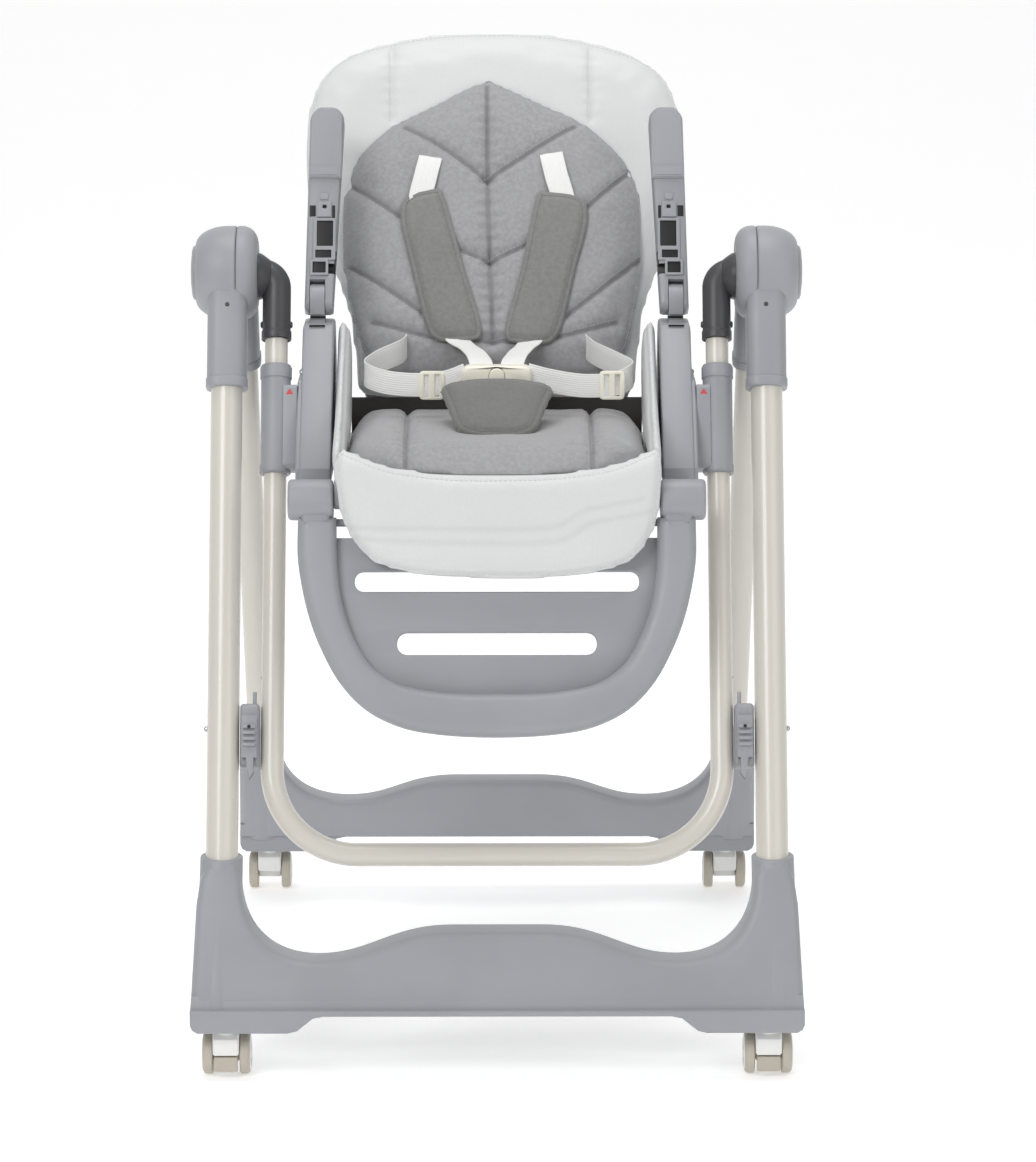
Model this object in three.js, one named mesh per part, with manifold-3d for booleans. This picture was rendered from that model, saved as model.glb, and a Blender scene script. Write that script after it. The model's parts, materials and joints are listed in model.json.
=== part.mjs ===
/**
 * Folding high chair on casters: an A frame of two leaning leg pairs that turn on two hubs, a U-shaped
 * rail hung from the hubs, and a seat that slides along the rail.
 *
 * Units are millimetres, +Z is up and -Y is the front. Left is -X and right is +X, as seen from the front.
 * The origin is on the floor, in the middle of the object's box.
 */
import * as THREE from 'three';
import { mergeVertices } from 'three/addons/utils/BufferGeometryUtils.js';
import Module from 'manifold-3d';

const wasm = await Module();
wasm.setup();
const rad = THREE.MathUtils.degToRad;

// ---------------------------------------------------------------- driving dimensions
const GAP = 0.3; // running gap between pieces that touch
const ROUND = 16; // sides of a large round piece
const SMALL = 10; // sides of a small round piece
const PIN = 4; // radius of the hinge pins
const TURNING = 0.6; // gap round the hub axles, so that their flats clear as they turn

const HUB = { y: -34.75, z: 753, radius: 47.5, inner: 242, split: 263, outer: 305, axle: 6 };

// direction is -1 toward the front and +1 toward the rear
const FRONT = {
  direction: -1, lean: rad(22.4), legX: 271.5, tube: 16, footY: -307, footHalf: 300, socket: [40, 36],
};
const REAR = {
  direction: 1, lean: rad(26.7), legX: 262, tube: 14, footY: 371, footHalf: 289, socket: [34, 33],
};
const LEG = { offset: 20, top: 50, bottomZ: 102, wall: 1.5, socketEnd: 125 };

const FOOT = { top: 207, crest: 141, dip: 115, partLine: 73, bottom: 50, arch: 67, depth: 46, baseDepth: 54 };
const CASTER = { frontX: 266, rearX: 257, wheel: 20.5, trail: 12, half: 24.5, hood: 12.9, stem: 5 };

const RAIL = {
  lean: rad(23.9), x: 223, tube: 11.5, wall: 1.4, end: 597, bend: 85, elbow: 14.3, elbowEnd: 71,
};
const SLEEVE = { radius: 15, top: 98, bottom: 211 };
const LATCH = { top: 447, bottom: 511, inner: 235.6, outer: 254.8 };

const PANEL = { inner: 165.5, outer: 197, skin: 201 };
const ARMREST = { y: 25, z: 722, lean: rad(27), length: 206, depth: 14, knuckle: 16 };
const SEAT = { half: 150, front: -188, rear: 60, panTop: 574, padTop: 601, panHalf: 160.4 };
const BACK = { y: 75, z: 590, lean: rad(25), length: 424, half: 197, waist: 147, barrel: 9 };
const FOOTREST = { y: -175, z: 553, lean: rad(22), length: 239, half: 196, rim: 13, knuckle: 18 };

// ---------------------------------------------------------------- finishes
function finish(color, roughness, metalness = 0) {
  return new THREE.MeshStandardMaterial({ color, roughness, metalness });
}

const greyPlastic = finish(0x9a9da3, 0.5);
const darkPlastic = finish(0x5a5a5d, 0.45);
const creamTube = finish(0xe2dfd8, 0.3);
const steel = finish(0xb5b7ba, 0.3, 0.9);
const whitePlastic = finish(0xe6e6e4, 0.4);
const ivoryPlastic = finish(0xded9c4, 0.4);
const beigeTread = finish(0xaaa091, 0.6);
const whiteLeather = finish(0xdee0e1, 0.55);
const greyFabric = finish(0xa5a5a7, 0.8);
const padFabric = finish(0x8c8c8c, 0.8);

// ---------------------------------------------------------------- geometry helpers
/** Shared vertices merged, slivers dropped and faces turned outwards. */
function closed(geometry) {
  const bare = geometry.clone();
  bare.deleteAttribute('normal');
  bare.deleteAttribute('uv');
  const merged = mergeVertices(bare, 1e-3);
  const source = merged.index.array;
  const kept = [];
  for (let i = 0; i < source.length; i += 3) {
    const [a, b, c] = [source[i], source[i + 1], source[i + 2]];
    if (a !== b && b !== c && c !== a) kept.push(a, b, c);
  }
  merged.setIndex(kept);
  return signedVolume(merged) < 0 ? flipped(merged) : merged;
}

function signedVolume(geometry) {
  const position = geometry.getAttribute('position');
  const [a, b, c] = [new THREE.Vector3(), new THREE.Vector3(), new THREE.Vector3()];
  let volume = 0;
  for (let i = 0; i < geometry.index.count; i += 3) {
    a.fromBufferAttribute(position, geometry.index.getX(i));
    b.fromBufferAttribute(position, geometry.index.getX(i + 1));
    c.fromBufferAttribute(position, geometry.index.getX(i + 2));
    volume += a.dot(b.cross(c)) / 6;
  }
  return volume;
}

function flipped(geometry) {
  const turned = [];
  for (let i = 0; i < geometry.index.count; i += 3) {
    turned.push(geometry.index.getX(i), geometry.index.getX(i + 2), geometry.index.getX(i + 1));
  }
  geometry.setIndex(turned);
  return geometry;
}

/** The same piece on the other side of the middle plane. */
function mirrored(geometry) {
  return closed(geometry.clone().scale(-1, 1, 1));
}

const onSide = (geometry, side) => (side > 0 ? geometry : mirrored(geometry));

function toManifold(geometry) {
  const whole = closed(geometry);
  const mesh = new wasm.Mesh({
    numProp: 3,
    vertProperties: new Float32Array(whole.getAttribute('position').array),
    triVerts: new Uint32Array(whole.index.array),
  });
  return new wasm.Manifold(mesh);
}

function toGeometry(manifold) {
  const mesh = manifold.getMesh();
  const geometry = new THREE.BufferGeometry();
  geometry.setAttribute('position', new THREE.BufferAttribute(new Float32Array(mesh.vertProperties), 3));
  geometry.setIndex(Array.from(mesh.triVerts));
  return geometry;
}

const join = (...pieces) => toGeometry(pieces.map(toManifold).reduce((whole, piece) => whole.add(piece)));

function cut(body, ...tools) {
  const left = tools.map(toManifold).reduce((rest, tool) => rest.subtract(tool), toManifold(body));
  return toGeometry(left);
}

/** Moves and turns a geometry about X, and returns it. */
function placed(geometry, { at = [0, 0, 0], tilt = 0 }) {
  return geometry.rotateX(tilt).translate(...at);
}

/** A shape of (y, z), (x, z) or (x, y) extruded along x, y or z, with rounded edges of size round. */
function prism(shape, axis, from, to, round = 0, curveSegments = 2) {
  const settings = {
    depth: to - from - 2 * round, curveSegments, bevelEnabled: round > 0,
    bevelThickness: round, bevelSize: round, bevelOffset: -round, bevelSegments: round > 2.5 ? 2 : 1,
  };
  const geometry = new THREE.ExtrudeGeometry(shape, settings);
  const turn = new THREE.Matrix4();
  if (axis === 'x') turn.set(0, 0, 1, from + round, 1, 0, 0, 0, 0, 1, 0, 0, 0, 0, 0, 1);
  if (axis === 'y') turn.set(1, 0, 0, 0, 0, 0, -1, to - round, 0, 1, 0, 0, 0, 0, 0, 1);
  if (axis === 'z') turn.makeTranslation(0, 0, from + round);
  return geometry.applyMatrix4(turn);
}

const polygon = (points) => new THREE.Shape(points.map(([u, v]) => new THREE.Vector2(u, v)));

/** A rectangle with its corners rounded to radius r. */
function roundedRect(u0, u1, v0, v1, r) {
  const shape = new THREE.Shape();
  shape.moveTo(u0 + r, v0);
  shape.lineTo(u1 - r, v0);
  shape.absarc(u1 - r, v0 + r, r, -Math.PI / 2, 0);
  shape.lineTo(u1, v1 - r);
  shape.absarc(u1 - r, v1 - r, r, 0, Math.PI / 2);
  shape.lineTo(u0 + r, v1);
  shape.absarc(u0 + r, v1 - r, r, Math.PI / 2, Math.PI);
  shape.lineTo(u0, v0 + r);
  shape.absarc(u0 + r, v0 + r, r, Math.PI, 1.5 * Math.PI);
  return shape;
}

/** A box from its low and high corners. */
function box([x0, y0, z0], [x1, y1, z1]) {
  return new THREE.BoxGeometry(x1 - x0, y1 - y0, z1 - z0)
    .translate((x0 + x1) / 2, (y0 + y1) / 2, (z0 + z1) / 2);
}

/** A round bar along x, y or z from one coordinate to another, about the given centre. */
function bar(axis, radius, from, to, centre = [0, 0], sides = ROUND) {
  const geometry = new THREE.CylinderGeometry(radius, radius, to - from, sides);
  geometry.translate(0, (from + to) / 2, 0);
  const turn = new THREE.Matrix4();
  if (axis === 'x') turn.set(0, 1, 0, 0, 0, 0, 1, centre[0], 1, 0, 0, centre[1], 0, 0, 0, 1);
  if (axis === 'y') turn.makeTranslation(centre[0], 0, centre[1]);
  if (axis === 'z') turn.set(0, 0, 1, centre[0], 1, 0, 0, centre[1], 0, 1, 0, 0, 0, 0, 0, 1);
  return geometry.applyMatrix4(turn);
}

/** A profile of (radius, position) pairs turned about the X axis. */
function turnedOnX(profile, sides = ROUND) {
  const points = profile.map(([radius, along]) => new THREE.Vector2(radius, along));
  const turn = new THREE.Matrix4().set(0, 1, 0, 0, 0, 0, 1, 0, 1, 0, 0, 0, 0, 0, 0, 1);
  return new THREE.LatheGeometry(points, sides).applyMatrix4(turn);
}

/** A route of straight stretches whose sweep has its rings exactly at the given points. */
class RingRoute extends THREE.Curve {
  constructor(points) {
    super();
    this.points = points;
  }

  getPoint(t, target = new THREE.Vector3()) {
    const place = t * (this.points.length - 1);
    const index = Math.min(Math.floor(place + 1e-6), this.points.length - 2);
    return target.lerpVectors(this.points[index], this.points[index + 1], place - index);
  }

  getPointAt(t, target) {
    return this.getPoint(t, target);
  }

  getTangentAt(t, target = new THREE.Vector3()) {
    const last = this.points.length - 1;
    const knot = Math.round(t * last);
    const before = this.points[Math.max(knot - 1, 0)];
    const here = this.points[knot];
    const after = this.points[Math.min(knot + 1, last)];
    target.set(0, 0, 0);
    if (knot > 0) target.add(new THREE.Vector3().subVectors(here, before).normalize());
    if (knot < last) target.add(new THREE.Vector3().subVectors(after, here).normalize());
    return target.normalize();
  }
}

/** Corner points joined by straight stretches, each inner corner rounded to the bend radius. */
function roundedRoute(corners, bend, arcSteps) {
  const points = [corners[0].clone()];
  for (let i = 1; i < corners.length - 1; i += 1) {
    const into = new THREE.Vector3().subVectors(corners[i], corners[i - 1]).normalize();
    const out = new THREE.Vector3().subVectors(corners[i + 1], corners[i]).normalize();
    const angle = into.angleTo(out);
    const trim = bend * Math.tan(angle / 2);
    const start = corners[i].clone().addScaledVector(into, -trim);
    const side = out.clone().addScaledVector(into, -out.dot(into)).normalize();
    for (let step = 0; step <= arcSteps; step += 1) {
      const turn = (angle * step) / arcSteps;
      points.push(start.clone()
        .addScaledVector(into, bend * Math.sin(turn))
        .addScaledVector(side, bend * (1 - Math.cos(turn))));
    }
  }
  points.push(corners[corners.length - 1].clone());
  return points;
}

function sweep(points, radius, sides) {
  const section = new THREE.Shape();
  section.absarc(0, 0, radius, 0, 2 * Math.PI);
  return new THREE.ExtrudeGeometry(section, {
    steps: points.length - 1, curveSegments: sides / 2, bevelEnabled: false,
    extrudePath: new RingRoute(points),
  });
}

const chair = new THREE.Group();
chair.position.y = HUB.y;

function group(parent, { at = [0, 0, 0], tilt = 0 } = {}) {
  const made = new THREE.Group();
  made.position.set(...at);
  made.rotation.x = tilt;
  parent.add(made);
  return made;
}

function add(parent, name, geometry, material) {
  const mesh = new THREE.Mesh(closed(geometry), material);
  mesh.name = name;
  parent.add(mesh);
}

// ---------------------------------------------------------------- leg frames
/** The middle of a foot at height z, in the hub's frame. */
const footMiddle = (frame, z) => frame.footY - frame.direction * (z - 60) * Math.tan(frame.lean);

/** A round bar on a leg's own axis, in the hub's frame turned upright, from t0 to t1 below the hub. */
function legBar(frame, radius, t0, t1) {
  const rod = bar('z', radius, -t1, -t0, [frame.legX, frame.direction * LEG.offset]);
  return placed(rod, { at: [0, 0, HUB.z], tilt: frame.direction * frame.lean });
}

const legLength = (frame) => (HUB.z + LEG.offset * Math.sin(frame.lean) - LEG.bottomZ) / Math.cos(frame.lean);

function legTube(frame) {
  const length = legLength(frame);
  const centre = [frame.legX, frame.direction * LEG.offset];
  const outside = bar('z', frame.tube, -length, -LEG.top, centre);
  const inside = bar('z', frame.tube - LEG.wall, -length - 1, -LEG.top + 1, centre);
  const hole = bar('y', 3, -40, 40, [frame.legX, -540], SMALL);
  return frame === REAR ? cut(outside, inside, hole) : cut(outside, inside);
}

/** Front view of a foot's upper moulding: two sockets and a wavy cross-beam. */
function footOutline({ legX, footHalf }) {
  const [inner, outer] = [legX - 20, legX + 20.5];
  const shape = new THREE.Shape();
  shape.moveTo(-footHalf, FOOT.partLine);
  shape.lineTo(footHalf, FOOT.partLine);
  shape.lineTo(outer, FOOT.top);
  shape.lineTo(inner, FOOT.top);
  shape.bezierCurveTo(inner + 1, 150, inner - 26, FOOT.dip, inner - 76, FOOT.dip);
  shape.bezierCurveTo(inner - 126, FOOT.dip, 105, FOOT.crest, 45, FOOT.crest);
  shape.lineTo(-45, FOOT.crest);
  shape.bezierCurveTo(-105, FOOT.crest, -inner + 126, FOOT.dip, -inner + 76, FOOT.dip);
  shape.bezierCurveTo(-inner + 26, FOOT.dip, -inner - 1, 150, -inner, FOOT.top);
  shape.lineTo(-outer, FOOT.top);
  return shape;
}

function foot(frame) {
  const upright = prism(footOutline(frame), 'y', -FOOT.depth / 2, FOOT.depth / 2, 7, 7);
  const slope = -frame.direction * Math.tan(frame.lean);
  const shear = new THREE.Matrix4().set(
    1, 0, 0, 0, 0, 1, slope, footMiddle(frame, 0), 0, 0, 1, 0, 0, 0, 0, 1,
  );
  const bore = legBar(frame, frame.tube + GAP, 560, legLength(frame) + 1);
  return cut(upright.applyMatrix4(shear), bore, mirrored(bore));
}

function footBase(frame) {
  const w = frame.footHalf;
  const outline = polygon([
    [-w, FOOT.partLine - GAP], [-w, 57], [-w + 6, FOOT.bottom], [-203, FOOT.bottom], [-176, FOOT.arch],
    [176, FOOT.arch], [203, FOOT.bottom], [w - 6, FOOT.bottom], [w, 57], [w, FOOT.partLine - GAP],
  ]);
  const y = frame.footY;
  const shell = prism(outline, 'y', y - FOOT.baseDepth / 2, y + FOOT.baseDepth / 2, 1.5);
  const casterX = frame === FRONT ? CASTER.frontX : CASTER.rearX;
  const hole = bar('z', CASTER.stem + GAP, FOOT.bottom - 5, 68, [casterX, y], SMALL);
  return cut(shell, hole, mirrored(hole));
}

// ---------------------------------------------------------------- hubs
/** The outer half of a hub with the front leg's socket, in the front leg plane. */
function hubHousing() {
  const { radius: r, split, outer, axle } = HUB;
  const disc = turnedOnX([
    [0, split + GAP], [r, split + GAP], [r, outer - 17], [r - 4, outer - 8], [r - 14, outer],
    [28, outer], [28, outer - 7], [0, outer - 7],
  ], 24);
  const [w, d] = FRONT.socket;
  const column = prism(
    roundedRect(FRONT.legX - w / 2, FRONT.legX + w / 2, -LEG.offset - d / 2, -LEG.offset + d / 2, 13),
    'z', -LEG.socketEnd, -20,
  );
  const neighbour = bar('x', r + 1, HUB.inner - 10, split + GAP, [0, 0], 24);
  const tubeBore = bar('z', FRONT.tube + GAP, -LEG.socketEnd - 2, -LEG.top + 1, [FRONT.legX, -LEG.offset]);
  const axleBore = bar('x', axle + GAP, split - 5, outer - 12, [0, 0], SMALL);
  return cut(join(disc, cut(column, neighbour)), tubeBore, axleBore);
}

/** The inner half of a hub with the rear leg's socket, in the rear leg plane. */
function rearHub() {
  const { radius: r, inner, split, axle } = HUB;
  const disc = turnedOnX([
    [0, inner], [r - 12, inner], [r - 3, inner + 5], [r, inner + 11], [r, split - GAP], [0, split - GAP],
  ], 24);
  const [w, d] = REAR.socket;
  const column = prism(
    roundedRect(REAR.legX - w / 2, REAR.legX + w / 2, LEG.offset - d / 2, LEG.offset + d / 2, 12),
    'z', -LEG.socketEnd, -20,
  );
  const neighbour = bar('x', r + 1, split - GAP, HUB.outer, [0, 0], 24);
  const tubeBore = bar('z', REAR.tube + GAP, -LEG.socketEnd - 2, -LEG.top + 1, [REAR.legX, LEG.offset]);
  const axleBore = bar('x', axle + TURNING, inner - 2, split + 2, [0, 0], SMALL);
  return cut(join(disc, cut(column, neighbour)), tubeBore, axleBore);
}

const hubAxle = () => bar('x', HUB.axle, HUB.inner - 12, HUB.outer - 14, [0, 0], SMALL);

const foldButton = () => turnedOnX([
  [0, HUB.outer - 2.4], [27.5, HUB.outer - 2.4], [27.5, HUB.outer + 1], [24, HUB.outer + 3.5],
  [14, HUB.outer + 5], [0, HUB.outer + 5],
]);

// ---------------------------------------------------------------- rail
function seatRail() {
  const down = (x, z) => new THREE.Vector3(x, 0, -z);
  const corners = (start) => [
    down(-RAIL.x, start), down(-RAIL.x, RAIL.end), down(RAIL.x, RAIL.end), down(RAIL.x, start),
  ];
  const outside = sweep(roundedRoute(corners(34), RAIL.bend, 6), RAIL.tube, ROUND);
  const inside = sweep(roundedRoute(corners(30), RAIL.bend, 6), RAIL.tube - RAIL.wall, SMALL);
  return cut(outside, inside);
}

/** The dark bend between a hub and the rail, with its side rivets. */
function elbow() {
  const start = HUB.inner - GAP;
  const bend = start - RAIL.x - 2;
  const corners = [[start, 0, 0], [RAIL.x, 0, 0], [RAIL.x, 0, -RAIL.elbowEnd]];
  const route = roundedRoute(corners.map((at) => new THREE.Vector3(...at)), bend, 5);
  const collar = turnedOnX([[0, start - 13], [15, start - 13], [24, start], [0, start]]);
  const rivet = bar('x', 3, RAIL.x - 16, RAIL.x + 16, [0, -55], SMALL);
  const tubeBore = bar('z', RAIL.tube + GAP, -RAIL.elbowEnd - 2, -33, [RAIL.x, 0]);
  const axleBore = bar('x', HUB.axle + TURNING, start - 14, start + 2, [0, 0], SMALL);
  return cut(join(sweep(route, RAIL.elbow, ROUND), collar.translate(0, 0, -4), rivet), tubeBore, axleBore);
}

function latchBody() {
  const { inner, outer, top, bottom } = LATCH;
  const block = prism(roundedRect(-15, 11, -bottom, -top, 6), 'x', inner, outer, 2.5);
  const pin = bar('z', 2, -top - 3, -top + 12, [inner + 5, -6], SMALL);
  return join(block, pin);
}

function latchSlider() {
  const { inner, outer, top, bottom } = LATCH;
  const rib = (z) => box([inner + 3.5, -23.5, z - 3], [outer - 3.5, -20, z]);
  const ribs = [24, 30, 36, 42].map((below) => rib(-top - below));
  const plate = box([inner + 2, -20.5, -bottom + 8], [outer - 2, -15.4, -top - 14]);
  const hook = prism(
    polygon([
      [inner + 5, -bottom + 12], [inner + 5, -bottom - 8], [inner + 9, -bottom - 14],
      [inner + 11, -bottom - 4], [inner + 13, -bottom + 12],
    ]),
    'y', -20.5, -15.4,
  );
  return join(plate, hook, ...ribs);
}

// ---------------------------------------------------------------- sliding carriage
/** The sleeve on the rail, its web and the plate behind the side panel, in the rail's plane. */
function slideBracket() {
  const { radius, top, bottom } = SLEEVE;
  const sleeve = bar('z', radius, -bottom, -top, [RAIL.x, 0]);
  const collar = bar('z', radius + 1, -top - 14, -top - 2, [RAIL.x, 0]);
  const lip = bar('z', radius + 0.8, -bottom + 1, -bottom + 9, [RAIL.x, 0]);
  const web = prism(roundedRect(-14, 14, -bottom + 4, -top - 22, 5), 'x', PANEL.skin + GAP, RAIL.x - 8);
  const bore = bar('z', RAIL.tube + GAP, -bottom - 2, -top + 2, [RAIL.x, 0]);
  const boss = bar('y', 10, 8, radius + 3, [RAIL.x, -150], ROUND);
  const button = bar('y', 7 + GAP, 5, 20, [RAIL.x, -150], SMALL);
  return cut(join(sleeve, collar, lip, web, boss), bore, button);
}

const heightButton = () => bar('y', 7, RAIL.tube + 3, SLEEVE.radius + 6, [RAIL.x, -150], SMALL);

function sidePanel() {
  const { y, z, knuckle } = ARMREST;
  const outline = polygon([
    [-130, 556], [95, 556], [97, 604], [50, 694], [42, 700], [-8, 700], [-16, 695], [-128, 574],
  ]);
  const body = prism(outline, 'x', PANEL.inner, PANEL.outer, 3);
  const skin = prism(polygon([[-126, 559], [92, 559], [94, 603], [72, 650], [-54, 650], [-124, 573]]),
    'x', PANEL.outer - 4, PANEL.skin, 1.5);
  const tongue = join(
    box([175.5, y - knuckle, 690], [190.5, y + knuckle, z]),
    bar('x', knuckle, 175.5, 190.5, [y, z], 20),
  );
  const slot = box([174, -25, 703], [192, y - knuckle + 5, 709]);
  const pin = bar('x', PIN, 168, 195, [y, z], SMALL);
  return join(cut(join(body, skin, tongue), slot), pin);
}

function seatPan() {
  const { panHalf: w, front, rear, panTop } = SEAT;
  const tray = prism(roundedRect(-w, w, front + 18, rear + 28, 16), 'z', 556, panTop, 2);
  const hollow = prism(roundedRect(-w + 5, w - 5, front + 23, rear + 23, 12), 'z', 550, panTop - 4.5);
  const ear = prism(roundedRect(BACK.y - 12, BACK.y + 12, 566, BACK.z + 11, 10), 'x', 112.5, 122, 1);
  const lugSide = roundedRect(FOOTREST.y - 11, FOOTREST.y + 18, FOOTREST.z - 11, panTop - 3, 8);
  const lug = prism(lugSide, 'x', 149, w, 1);
  const pin = bar('x', PIN, 152, 204, [FOOTREST.y, FOOTREST.z], SMALL);
  const reclineBore = bar('x', PIN + GAP, -130, 130, [BACK.y, BACK.z], SMALL);
  const whole = cut(join(cut(tray, hollow), ear, mirrored(ear)), reclineBore);
  return join(whole, lug, mirrored(lug), pin, mirrored(pin));
}

/** The steel rod that the backrest turns on. */
const reclineRod = () => bar('x', PIN, -124, 124, [BACK.y, BACK.z], SMALL);

function seatPad() {
  const { half, front, rear, panTop, padTop } = SEAT;
  return prism(roundedRect(-half, half, front, rear, 30), 'z', panTop + GAP, padTop, 8, 3);
}

const seatFrontPad = () => prism(roundedRect(-163, 163, 576, 604, 10), 'y', -206, SEAT.front - GAP, 5);

/** One side wall of the seat cover, low at the front and rising to the backrest. */
function sideWing() {
  const outline = polygon([
    [-184, 577], [-184, 606], [-150, 613], [-60, 644], [10, 692], [40, 700], [56, 650], [58, 577],
  ]);
  return prism(outline, 'x', SEAT.half + 1.5, 162, 3);
}

const CROTCH = { y: -74, z: 627, tilt: rad(-65) };

/** The pad over the strap between the legs: wide above, narrow below, leaning back. */
function crotchPad() {
  const outline = polygon([
    [-28, -44], [28, -44], [42, -30], [57, 28], [50, 42], [-50, 42], [-57, 28], [-42, -30],
  ]);
  return placed(prism(outline, 'y', -6, 6, 3), { at: [0, CROTCH.y, CROTCH.z], tilt: CROTCH.tilt });
}

function buckle() {
  const body = prism(roundedRect(-35, 35, 641, 661, 7), 'y', -28, -10, 3);
  return cut(body, bar('y', 8 + GAP, -32, -14, [0, 651], 16));
}

const buckleButton = () => bar('y', 8, -30, -18, [0, 651], 16);

/** A ladder buckle on a waist strap, with two slots for the webbing. */
function waistAdjuster(x) {
  return cut(
    prism(roundedRect(x - 13, x + 13, 626, 655, 4), 'y', -24, -18, 0, 1),
    box([x - 8, -30, 629], [x - 3, -10, 652]),
    box([x + 3, -30, 629], [x + 8, -10, 652]),
  );
}

// ---------------------------------------------------------------- backrest, in its own leaning frame
/** A soft outline, wide and round at the top and narrow at the waist. */
function backOutline({ low, top, half, waist, corner }) {
  const shape = new THREE.Shape();
  shape.moveTo(-waist + 18, low);
  shape.lineTo(waist - 18, low);
  shape.quadraticCurveTo(waist, low, waist, low + 20);
  shape.lineTo(waist + 2, 118);
  shape.bezierCurveTo(waist + 8, 165, half - 2, 175, half, 250);
  shape.lineTo(half, top - corner - 14);
  shape.bezierCurveTo(half, top - 40, half - 40, top - 14, half - 85, top - 8);
  shape.quadraticCurveTo(0, top + 8, -half + 85, top - 8);
  shape.bezierCurveTo(-half + 40, top - 14, -half, top - 40, -half, top - corner - 14);
  shape.lineTo(-half, 250);
  shape.bezierCurveTo(-half + 2, 175, -waist - 8, 165, -waist - 2, 118);
  shape.lineTo(-waist, low + 20);
  shape.quadraticCurveTo(-waist, low, -waist + 18, low);
  return shape;
}

function backShell() {
  const outline = { low: 17, top: BACK.length - 8, half: BACK.half - 8, waist: BACK.waist - 8, corner: 95 };
  const plate = prism(backOutline(outline), 'y', 0, 9, 3, 5);
  const barrel = bar('x', BACK.barrel, -112, 112, [0, 0]);
  const neck = box([-105, 0, 0], [105, 8, 24]);
  const bore = bar('x', PIN + GAP, -115, 115, [0, 0], SMALL);
  const leverWindow = prism(roundedRect(-34, 34, 346, 378, 8), 'y', 6, 12);
  return cut(join(plate, barrel, neck), bore, leverWindow);
}

const reclineLever = () => prism(roundedRect(-31, 31, 351, 371, 6), 'y', 6 + GAP, 18, 2.5);

function backPad() {
  const outline = { low: 18, top: BACK.length, half: BACK.half, waist: BACK.waist, corner: 95 };
  return prism(backOutline(outline), 'y', -26, -GAP, 9, 5);
}

/** The quilted pad on the backrest, a leaf that comes to a point at the top. */
function backInsert() {
  const shape = new THREE.Shape();
  shape.moveTo(-132, 38);
  shape.lineTo(124, 38);
  shape.bezierCurveTo(134, 80, 146, 110, 150, 150);
  shape.bezierCurveTo(156, 235, 140, 280, 90, 312);
  shape.lineTo(-9, 360);
  shape.lineTo(-106, 312);
  shape.bezierCurveTo(-150, 285, -166, 235, -160, 150);
  shape.bezierCurveTo(-156, 110, -142, 80, -132, 38);
  return prism(shape, 'y', -41, -26 - GAP, 5, 6);
}

/** A padded sleeve on a shoulder strap. The corners run from the top outer one inwards and down. */
function shoulderPad(corners) {
  return prism(polygon(corners), 'y', -53, -41.5, 4);
}

const LEFT_SHOULDER = [
  [-95, 222], [-97, 205], [-68, 80], [-58, 70], [-24, 73], [-16, 82], [-60, 226], [-68, 233],
];
const RIGHT_SHOULDER = [
  [89, 222], [92, 205], [62, 78], [52, 67], [18, 70], [9, 79], [44, 222], [52, 230],
];

// ---------------------------------------------------------------- footrest, in its own leaning frame
/** Front view of the footrest's edge, pulled in by the amount inset. */
function footrestOutline(inset, top) {
  const half = FOOTREST.half - inset;
  const end = FOOTREST.length - inset;
  const shape = new THREE.Shape();
  shape.moveTo(half, top);
  shape.lineTo(-half, top);
  shape.lineTo(-half, -60);
  shape.bezierCurveTo(-half, -115, -half + 22, -158, -half + 60, -end + 45);
  shape.bezierCurveTo(-half + 90, -end + 18, -half + 135, -end, 0, -end);
  shape.bezierCurveTo(half - 135, -end, half - 90, -end + 18, half - 60, -end + 45);
  shape.bezierCurveTo(half - 22, -158, half, -115, half, -60);
  return shape;
}

function footrest() {
  const { rim, knuckle } = FOOTREST;
  const plate = prism(footrestOutline(0, -20), 'y', -rim, rim, 7, 6);
  const dish = prism(footrestOutline(40, 10), 'y', -rim - 5, 5, 0, 6);
  const slot = (slotHalf, from, to) => roundedRect(-slotHalf, slotHalf, -to, -from, (to - from) / 2 - 1);
  const slots = [slot(170, 25, 41), slot(140, 73, 93), slot(98, 134, 156)]
    .map((outline) => prism(outline, 'y', -20, 20));
  const hub = prism(roundedRect(-knuckle, knuckle, -knuckle - 4, knuckle, 14), 'x', 161, 206, 3);
  const arm = box([163, -11, -32], [194, 11, -8]);
  const bore = bar('x', PIN + GAP, 155, 204.5, [0, 0], SMALL);
  const whole = join(cut(plate, dish, ...slots), hub, mirrored(hub), arm, mirrored(arm));
  return cut(whole, bore, mirrored(bore));
}

/** The lower part of the calf rest's cover, with a rounded lower edge, hanging before the footrest. */
function calfPad() {
  const shape = new THREE.Shape();
  shape.moveTo(-157, 543);
  shape.lineTo(-157, 530);
  shape.quadraticCurveTo(-150, 498, -110, 494);
  shape.lineTo(110, 494);
  shape.quadraticCurveTo(150, 498, 157, 530);
  shape.lineTo(157, 543);
  return prism(shape, 'y', -206, -194, 4, 5);
}

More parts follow.
